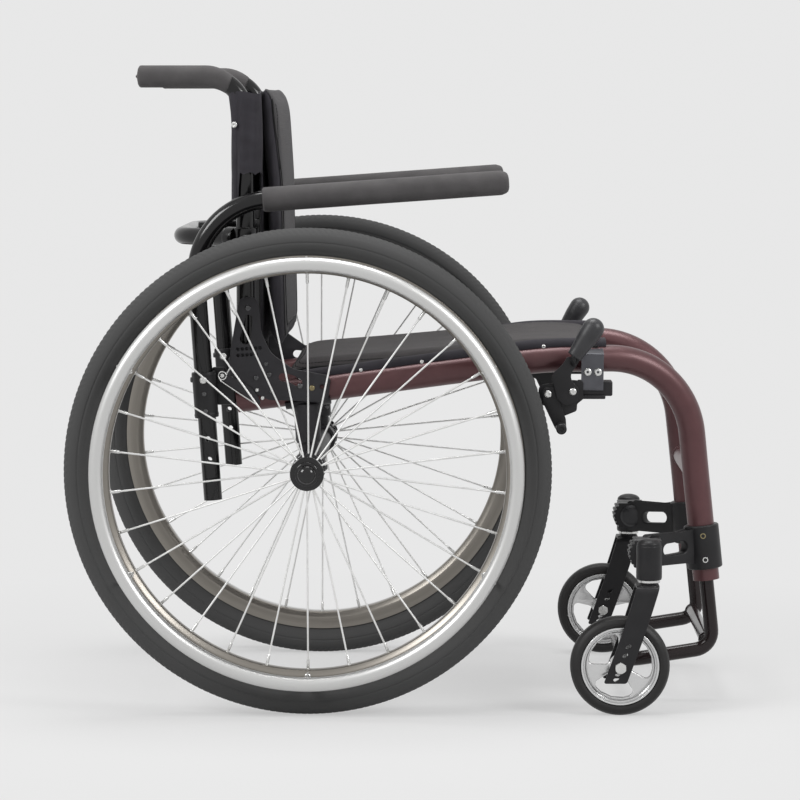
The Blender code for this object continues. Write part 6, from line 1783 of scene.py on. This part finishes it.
@dataclass
class Caster(Paired):
    """Front caster: clamped arm, toothed housing, bent fork, and a small wheel."""

    axis_x: float = 0.428
    y: float = 0.2545
    trail: float = 0.036
    radius: float = 0.0625
    tyre_width: float = 0.027
    boss_y: float = 0.196
    boss_z: float = 0.200
    boss_radius: float = 0.024
    boss_flat: float = 0.0172
    teeth: int = 12
    clamp_heights: tuple[float, float] = (0.015, 0.071)
    clamp_radius: float = 0.0225
    fork_inside: float = 0.038
    fork_plate: float = 0.004
    fork_top: float = 0.165
    fork_foot: float = 0.0425
    leg_half: float = 0.0145
    knee_z: float = 0.1216
    knee_shift: float = 0.014
    slots: tuple[float, ...] = (0.0265, 0.0155, -0.0085, -0.0145)
    window_radii: tuple[float, float] = (0.0165, 0.0408)

    @property
    def axle(self) -> Array:
        """Middle of the caster's wheel."""
        return self.at(self.axis_x - self.trail, self.y, self.radius)

    @property
    def boss(self) -> Array:
        """Middle of the toothed boss."""
        return self.at(self.axis_x, self.boss_y, self.boss_z)

    @property
    def clamp_ends(self) -> tuple[Array, Array]:
        """Points of the down tube's axis at the clamp's lower and upper end."""
        low, high = self.clamp_heights
        return down_tube(low, self.sign), down_tube(high, self.sign)

    @property
    def leg_slope(self) -> float:
        """Run ahead for each metre of rise on a fork leg's lower part."""
        return (self.trail - self.knee_shift) / (self.knee_z - self.radius)

    def toothed(self, start: float, end: float) -> Shell:
        """Toothed disc across Y between two distances outboard of the boss's middle.

        Its radius is the boss's, less a smoothed square wave of the turn, but no more than a
        flat's distance over the cosine of the turn, so its top and bottom are flat; it is cut
        straight in front, inside the boss.
        """
        turns = even_turns(288)
        wave = np.clip(2.2 * np.cos(2 * self.teeth * turns), -1.0, 1.0)
        flat = self.boss_flat / np.maximum(np.abs(np.cos(turns)), 0.1)
        edge = np.minimum(self.boss_radius - 0.0010 + 0.0010 * wave, flat)
        rows = np.stack((edge * 0.5, edge - 0.0012, edge, edge, edge - 0.0012, edge * 0.5))
        ends = np.array((start, start, start + 0.0008, end - 0.0008, end, end))
        disc = lobed(rows, ends, self.boss, self.out)
        disc.points[:, 0] = np.minimum(disc.points[:, 0], self.axis_x + self.boss_flat)
        return disc

    def arm(self) -> Shell:
        """Cast arm from the down tube's clamp to the boss, with a long window."""
        low, high = self.clamp_ends
        run = ((low + high) / 2 - self.boss)[:2]
        length = float(np.linalg.norm(run))
        corners = ((0.0, 0.0180, 0.004), (length * 0.55, 0.0180, 0.02), (length, 0.0252, 0.004),
                   (length, -0.0224, 0.004), (length * 0.62, -0.0180, 0.02), (0.0, -0.0180, 0.004))
        window = long_hole((0.0310, -0.0005), (0.0560, 0.001), 0.0076)
        turn = Matrix.Translation(Vector(self.boss)) @ Matrix.Rotation(math.atan2(run[1], run[0]), 4, "Z")
        web = plate(outlined(corners, 0.1), [window], 0.014, 0.0022).moved(turn)
        height = float(np.linalg.norm(high - low))
        radius = self.clamp_radius
        sleeve = ((0.0173, 0.0), (radius - 0.0015, 0.0), (radius, 0.0015), (radius, height - 0.0015),
                  (radius - 0.0015, height), (0.0173, height))
        clamp = turned(sleeve, (0.001,) * 4, low, high - low, 72, closed=True)
        return merged(web, clamp, self.toothed(-0.010, 0.010))

    def boss_cap(self) -> Shell:
        """Round cap over the boss's inner end."""
        return turned(((0.0, -0.0175), (0.0100, -0.0168), (0.0122, -0.0150), (0.0122, -0.009), (0.0, -0.009)),
                      (0.02, 0.001, 0.0005), self.boss, self.out, 56)

    def arm_screw(self, share: float) -> Shell:
        """Small screw of the clamp in a turned ring, at a share of the clamp's height."""
        low, high = self.clamp_ends
        foot = low + (high - low) * share + self.out * (self.clamp_radius - 0.0006)
        rim = turned(((0.0024, 0.0), (0.0036, 0.0), (0.0036, 0.0010), (0.0024, 0.0010)), (0.0002,) * 2, foot,
                     self.out, 32, closed=True)
        return merged(rim, hex_screw(foot - self.out * 0.0010, self.out, 0.0025, 0.0014))

    def housing(self) -> Shell:
        """Barrel with a domed cap, its neck and its toothed flange."""
        lower = bent(((0.0155, 0.2155), (0.0155, 0.2140), (0.0162, 0.2134), (0.0162, 0.1740), (0.0156, 0.1712),
                      (0.0130, 0.1712), (0.0, 0.1712)), (0.0004, 0.0004, 0.001, 0.001, 0.0005), 0.3)
        profile = np.concatenate((quarter_arc(0.0155, 14, 0.2155, 0.0075), lower[1:]))
        barrel = lathe(profile, self.at(self.axis_x, self.y, 0.0), UP, 64)
        neck = rounded_block(self.at(self.axis_x, self.y - 0.0165, 0.1960), (0.0236, 0.0120, 0.0316), 0.003, 5)
        return merged(barrel, neck, self.toothed(0.0106, 0.0365))

    def bearing_ring(self) -> Shell:
        """Bright ring between the barrel and the fork."""
        return turned(((0.0066, 0.0), (0.0128, 0.0), (0.0138, 0.0008), (0.0138, 0.0038), (0.0066, 0.0038)),
                      (0.0004,) * 3, self.at(self.axis_x, self.y, 0.1672), UP, 56, closed=True)

    def leg_middle(self, z: Array) -> Array:
        """X of a fork leg's middle at a height: two straight runs with a rounded knee between them."""
        knee = self.axis_x - self.knee_shift
        lower = knee - self.leg_slope * (self.knee_z - z)
        upper = knee + (0.012 / (self.fork_top - self.knee_z)) * (z - self.knee_z)
        gap = 0.004
        return (lower + upper - np.sqrt((lower - upper) ** 2 + gap ** 2)) / 2 + gap * 0.35

    def fork(self) -> Shell:
        """Strip bent to an upside-down U, its legs swept back to the axle.

        A row's section is a flat strip with round edges; its middle follows the leg and its
        width narrows on a quarter circle at the feet.
        """
        middle = (self.fork_inside + self.fork_plate) / 2
        top = self.fork_top - self.fork_plate / 2
        corners = [(0.0, side, z) for side, z in ((-middle, self.fork_foot), (-middle, top), (middle, top),
                                                  (middle, self.fork_foot))]
        path = resampled(bent(corners, (0.0075, 0.0075), 0.12), 0.0016)
        foot = np.clip((path[:, 2] - self.fork_foot) / 0.002, 0.0, 1.0)
        half = self.leg_half - 0.002 + 0.002 * np.sqrt(np.clip(1 - (1 - foot) ** 2, 0.0, 1.0))
        turns = even_turns(20)
        thick = self.fork_plate / 2 * np.clip(1.5 * np.cos(turns), -1.0, 1.0)
        edge = 0.0014
        across = powered(np.sin(turns), 0.5)
        wide = (half[:, None] - edge) * np.clip(1.3 * across, -1.0, 1.0) + edge * across
        ahead = wide + self.leg_middle(path[:, 2])[:, None]
        side = unit(np.cross(AHEAD, headings(path)))
        points = path[:, None] + thick[None, :, None] * side[:, None] + ahead[..., None] * AHEAD
        return grid_shell(points + self.at(0.0, self.y, 0.0))

    def fork_slots(self, axle_x: float) -> list[Shell]:
        """Cutters for the height slots in both legs."""
        shells = []
        for away in self.slots:
            x = self.axle[0] + axle_x + away * self.leg_slope
            z = self.axle[2] + away
            loop = long_hole((x - 0.0016, z - 0.0010), (x + 0.0016, z + 0.0010), 0.0021, 8)
            ends = [np.insert(loop, 1, self.sign * self.y + end, axis=1) for end in (-0.03, 0.03)]
            shells.append(grid_shell(np.stack(ends)))
        return shells

    def stem(self) -> Shell:
        """Stem and washer on top of the fork."""
        corners = ((0.0, 0.0), (0.0112, 0.0), (0.0112, 0.0030), (0.0060, 0.0030), (0.0060, 0.0070),
                   (0.0, 0.0070))
        foot = self.at(self.axis_x, self.y, self.fork_top - 0.001)
        return turned(corners, (0.0005, 0.0005, 0.0003, 0.0005), foot, UP, 40)

    def axle_bolt(self) -> Shell:
        """Axle with a hexagon head outboard and a nut inboard."""
        reach = self.out * 0.0231
        rod = tube(np.stack((self.axle - reach, self.axle + reach)), 0.0040, UP, 28)
        return merged(rod, hex_head(self.axle + reach, self.out, 0.0076, 0.0046),
                      hex_head(self.axle - reach, -self.out, 0.0072, 0.0044))

    def windows(self) -> list[Array]:
        """Three rounded windows between the wheel's spokes, as they stand on this side."""
        inner, outer = self.window_radii
        first = 15.0 if self.side is Side.RIGHT else 90.0
        loops = []
        for number in range(3):
            corners = []
            for radius, spread in ((outer, -42.0), (outer, -21.0), (outer, 0.0), (outer, 21.0), (outer, 42.0),
                                   (inner, 40.0), (inner, -40.0)):
                turn = math.radians(first + 120.0 * number + spread)
                rounding = 0.006 if abs(spread) > 20 else 0.0
                corners.append((radius * math.cos(turn), radius * math.sin(turn), rounding))
            loops.append(outlined(corners, 0.2))
        return loops

    def wheel(self) -> Shell:
        """Machined wheel: rim with round lips, a web with three broad spokes, and a hub."""
        web = plate(ring(0.0440, 96), self.windows(), 0.0075, 0.0012).shifted(*self.axle)
        lips = mirrored(((0.0425, -0.0085), (0.0450, -0.0105), (0.0458, -0.0095), (0.0466, -0.0122),
                         (0.0488, -0.0125), (0.0496, -0.0105)))
        rounds = (0.001, 0.0003, 0.0004, *(0.0006,) * 5, 0.0004, 0.0003, 0.001)
        rim = turned((*lips, (0.0418, 0.0)), rounds, self.axle, LEFT, 96, closed=True)
        hub = turned(mirrored(((0.0045, -0.0172), (0.0090, -0.0172), (0.0118, -0.0120), (0.0135, -0.0050))),
                     (0.001, 0.003, 0.003, 0.003, 0.003, 0.001), self.axle, LEFT, 56, closed=True)
        return merged(web, rim, hub)

    def tyre(self) -> Shell:
        """Round caster tyre with a flat tread band and a thin moulding line beside it."""
        corners = mirrored(((0.0497, -0.0108), (0.0505, -0.0124), (0.0545, -self.tyre_width / 2),
                            (0.0598, -0.0105), (self.radius, -0.0052)))
        return turned(corners, (0.001, 0.004, 0.004, 0.002, 0.002, 0.004, 0.004, 0.001), self.axle, LEFT, 128,
                      closed=True)

    def build(self, shop: Workshop) -> None:
        """Make and place the caster's pieces."""
        name = self.side.label
        self.make(shop, "frame", ("cast_arm", self.arm(), SATIN_BLACK, "caster_arm"),
                  ("boss_cap", self.boss_cap(), GRIP_RUBBER),
                  ("upper_arm_screw", self.arm_screw(0.775), BRASSY_STEEL),
                  ("lower_arm_screw", self.arm_screw(0.225), BRIGHT_STEEL),
                  ("barrel", self.housing(), SATIN_BLACK, "caster_housing"),
                  ("bearing_ring", self.bearing_ring(), BRIGHT_STEEL))
        swivel = f"{name}_swivel"
        fork = shop.make(f"{name}_fork_strip", self.fork(), SATIN_BLACK, swivel, finished=False)
        carved(fork, *self.fork_slots(shop.axle_x))
        shop.hand_over(fork, SATIN_BLACK, swivel, f"{name}_caster_fork")
        self.make(shop, "swivel", ("fork_stem", self.stem(), DARK_METAL),
                  ("axle_bolt", self.axle_bolt(), BRIGHT_STEEL, "caster_axle"))
        self.make(shop, "roller", ("small_wheel", self.wheel(), CASTER_METAL, "caster_wheel"),
                  ("small_tyre", self.tyre(), CASTER_RUBBER, "caster_tyre"))


@dataclass
class WheelLock(Paired):
    """Push-to-lock wheel lock: clamp and slide bar, plate, lever with a grip, and shoe arm."""

    clamp_x: float = 0.358
    clamp_ends: tuple[float, float] = (-0.0143, 0.0137)
    clamp_screws: tuple[float, float] = (-0.0066, 0.0064)
    strap_face: float = 0.2178
    bar_y: float = 0.2020
    bar_z: float = 0.409
    plate_y: float = 0.218
    shoe_y: float = 0.2216
    lever_y: float = 0.2252
    lever_pivot: tuple[float, float] = (0.3326, 0.4052)
    shoe_pivot: tuple[float, float] = (0.3016, 0.4017)
    shoe: tuple[float, float] = (0.3175, 0.3603)
    thickness: float = 0.003
    pin_radius: float = 0.0035
    grip_lean: float = 34.0
    grip_length: float = 0.0565
    grip_radius: float = 0.0138

    @property
    def pivots(self) -> tuple:
        """The two pivots as (x, z), each with how far outboard its arm lies."""
        return (self.lever_pivot, self.lever_y), (self.shoe_pivot, self.shoe_y)

    def sheet(self, corners: Sequence, holes: Sequence[Array], y: float) -> Shell:
        """Flat plate at a distance from the chair's middle."""
        return plate(outlined(corners, 0.15), holes, self.thickness, 0.0005).shifted(y=self.sign * y)

    def clamp(self) -> Shell:
        """Grey strap on the seat tube's outer side: a short top flange and a long flat face.

        Its outline, in distances outboard of and above the tube's axis, runs down the outer face
        and back up the inner one.
        """
        path = frame_path(self.sign)
        line = np.array([path_at(path, x) for x in self.clamp_x + np.linspace(*self.clamp_ends, 12)])
        line[:, 1] = line[:, 1].mean()
        out = self.strap_face - abs(line[0, 1])
        corners = ((0.0060, 0.0135), (out - 0.0040, 0.0095), (out, 0.0085), (out, -0.0350),
                   (out - 0.0010, -0.0380), (out - 0.0035, -0.0380), (out - 0.0028, -0.0340),
                   (out - 0.0028, 0.0065), (0.0060, 0.0105))
        outline = bent(corners, (0.002, 0.0020, 0.004, 0.0010, 0.0008, 0.001, 0.0012), 0.2)
        return swept(line, np.stack((-outline[:, 1], self.sign * outline[:, 0]), axis=1), LEFT)

    def bar(self) -> Shell:
        """Slide bar below the clamp, with a lower lip and a neck up to the tube."""
        x, y, z = self.clamp_x, self.bar_y, self.bar_z
        return merged(rounded_block(self.at(x + 0.003, y, z - 0.001), (0.044, 0.0260, 0.0190), 0.0022, 5),
                      rounded_block(self.at(x, y + 0.004, z - 0.0115), (0.032, 0.0260, 0.0050), 0.0015, 4),
                      rounded_block(self.at(x, y - 0.002, z + 0.0145), (0.0220, 0.0200, 0.0140), 0.002, 4))

    def screws(self) -> Shell:
        """Screws of the clamp."""
        path = frame_path(self.sign)
        shells = []
        for shift in self.clamp_screws:
            x, _, z = path_at(path, self.clamp_x + shift)
            foot = self.at(x, self.strap_face - 0.0006, z - 0.0145)
            shells.append(hex_screw(foot, self.out, 0.0050, 0.0022))
        return merged(*shells)

    def plate_shell(self) -> Shell:
        """Carrier plate of the lever and the shoe arm, with its pins."""
        corners = ((0.2896, 0.4127, 0.008), (0.2896, 0.3897, 0.008), (0.3030, 0.3840, 0.003),
                   (0.3090, 0.3714, 0.003), (0.3211, 0.3733, 0.004), (0.3378, 0.3800, 0.004),
                   (0.3384, 0.3890, 0.004), (0.3460, 0.3950, 0.003), (0.3460, 0.4180, 0.003),
                   (0.3326, 0.4192, 0.008))
        pins = []
        for (x, z), reach in self.pivots:
            ends = np.stack((self.at(x, self.plate_y, z), self.at(x, reach + 0.0020, z)))
            pins.append(tube(ends, self.pin_radius, UP, 28))
        return merged(self.sheet(corners, [], self.plate_y), *pins)

    def pins(self) -> Shell:
        """Heads of the two pivot pins."""
        return merged(*[hex_screw(self.at(x, reach + 0.0016, z), self.out, 0.0046, 0.0022)
                        for (x, z), reach in self.pivots])

    def grip_line(self) -> tuple[Array, Array]:
        """Start of the grip and the direction in which it leans."""
        lean = math.radians(self.grip_lean)
        x, z = self.lever_pivot
        start = self.at(x + 0.001, self.lever_y + 0.008, z + 0.044)
        return start, np.array((math.sin(lean), 0.0, math.cos(lean)))

    def lever(self) -> Shell:
        """Cranked lever plate with the bent shank that carries the grip."""
        corners = ((0.3405, 0.4080, 0.008), (0.3270, 0.4236, 0.012), (0.3400, 0.4420, 0.010),
                   (0.3415, 0.4475, 0.003), (0.3255, 0.4490, 0.003), (0.3200, 0.4400, 0.012),
                   (0.3085, 0.4290, 0.006), (0.3060, 0.4230, 0.006), (0.3128, 0.3958, 0.008),
                   (0.3228, 0.3870, 0.005), (0.3391, 0.3921, 0.007))
        x, z = self.lever_pivot
        sheet = self.sheet(corners, [round_hole(x, z, self.pin_radius + 0.0002, 24)], self.lever_y)
        start, along = self.grip_line()
        foot = self.at(x + 0.001, self.lever_y, z + 0.0345)
        path = resampled(bent((foot, start - along * 0.003, start + along * 0.022), (0.006,), 0.15), 0.0015)
        return merged(sheet, tube(path, 0.0040, AHEAD, 28))

    def grip(self) -> Shell:
        """Rubber grip that flares from a narrow neck to a round end."""
        start, along = self.grip_line()
        big = self.grip_radius
        edge = self.grip_length - big
        side = bent(((big, edge), (big * 0.95, 0.030), (big * 0.74, 0.010), (big * 0.70, 0.0010),
                     (big * 0.62, 0.0004), (0.0042, 0.0004)), (0.04, 0.03, 0.002, 0.001), 0.12)
        return lathe(np.concatenate((quarter_arc(big, 16, edge), side[1:])), start, along, 56)

    def shoe_arm(self) -> Shell:
        """Arm with a round end and the bar that presses on the tyre."""
        (px, pz), (sx, sz) = self.shoe_pivot, self.shoe
        corners = ((px + 0.009, pz + 0.008, 0.006), (px - 0.008, pz + 0.008, 0.006),
                   (px - 0.006, pz - 0.012, 0.008), (sx - 0.0075, sz - 0.0010, 0.006),
                   (sx - 0.002, sz - 0.0085, 0.006),
                   (sx + 0.0075, sz - 0.0040, 0.006), (sx + 0.0065, sz + 0.010, 0.006))
        arm = self.sheet(corners, [round_hole(px, pz, self.pin_radius + 0.0002, 24)], self.shoe_y)
        profile = ((0.0, 0.0), (0.0050, 0.0), (0.0067, 0.0014), (0.0067, 0.0335), (0.0054, 0.0350),
                   (0.0030, 0.0350), (0.0026, 0.0330), (0.0, 0.0330))
        roller = turned(profile, (0.0003, 0.0008, 0.001, 0.001, 0.0003, 0.0003),
                        self.at(sx, self.shoe_y + 0.0014, sz), self.out, 40)
        return merged(arm, roller)

    def build(self, shop: Workshop) -> None:
        """Make and place the lock's pieces."""
        self.make(shop, "frame", ("lock_strap", self.clamp(), CLAMP_METAL),
                  ("lock_bar", self.bar(), SATIN_BLACK, "lock_mount"),
                  ("lock_screws", self.screws(), BRIGHT_STEEL),
                  ("lock_carrier", self.plate_shell(), SATIN_BLACK, "lock_plate"),
                  ("lock_pins", self.pins(), BRIGHT_STEEL))
        self.make(shop, "lock", ("lever_plate", self.lever(), SATIN_BLACK, "lock_lever"),
                  ("lever_knob", self.grip(), GRIP_RUBBER, "lever_grip"))
        self.make(shop, "shoe", ("shoe_bar", self.shoe_arm(), SATIN_BLACK, "shoe_arm"))


@dataclass
class Footrest:
    """Tubular loop whose legs slide in the down tubes, with a bar across its front."""

    leg_radius: float = 0.0092
    bar_radius: float = 0.0085
    insert: float = 0.100
    elbow: float = 0.068
    rear_x: float = 0.404
    slope: float = 9.0
    bend: float = 0.024

    def leg(self, sign: float) -> list[Array]:
        """Corners of one half of the loop, from the leg's top to the rear."""
        elbow = down_tube(self.elbow - DOWN_FOOT[2], sign)
        drop = (elbow[0] - self.rear_x) * math.tan(math.radians(self.slope))
        return [down_tube(self.insert, sign), elbow, np.array((self.rear_x, elbow[1], elbow[2] - drop))]

    def build(self, shop: Workshop) -> None:
        """Make the loop and its front bar with weld beads."""
        corners = self.leg(-1.0) + self.leg(1.0)[::-1]
        path = resampled(bent(corners, (self.bend,) * 4, 0.07), 0.004)
        loop = tube(path, self.leg_radius, UP * 0.2 + LEFT * 0.1, 48)
        lift = (UP - AHEAD) * self.bend * 0.35
        bar = tube(np.linspace(corners[1] + lift, corners[4] + lift, 30), self.bar_radius, UP, 44)
        circle = ring(self.bar_radius + 0.0002, 120)
        beads = []
        for corner, sign in ((corners[1], -1.0), (corners[4], 1.0)):
            middle = corner + lift - sign * LEFT * (self.leg_radius * 0.92)
            beads.append(weld_bead(middle + np.insert(circle, 1, 0.0, axis=1), 0.0014, 30))
        shop.make("footrest_loop_tube", merged(loop, bar, *beads), LOOP_PAINT, "footrest_loop", "footrest")


def main() -> None:
    """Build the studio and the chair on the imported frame."""
    logging.basicConfig(level=logging.INFO, format="%(name)s: %(message)s")
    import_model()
    low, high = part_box("right_rim")
    shop = Workshop((low[0] + high[0]) / 2)
    Studio().build(shop.axle_x)
    AxleCarrier().build(shop)
    Seat().build(shop)
    BackRest().build(shop)
    Footrest().build(shop)
    for side in Side:
        for kind in (RearWheel, SideFrame, Armrest, Caster, WheelLock):
            kind(side).build(shop)
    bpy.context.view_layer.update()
    log.info("%d pieces", shop.count)


if __name__ == "__main__":
    main()
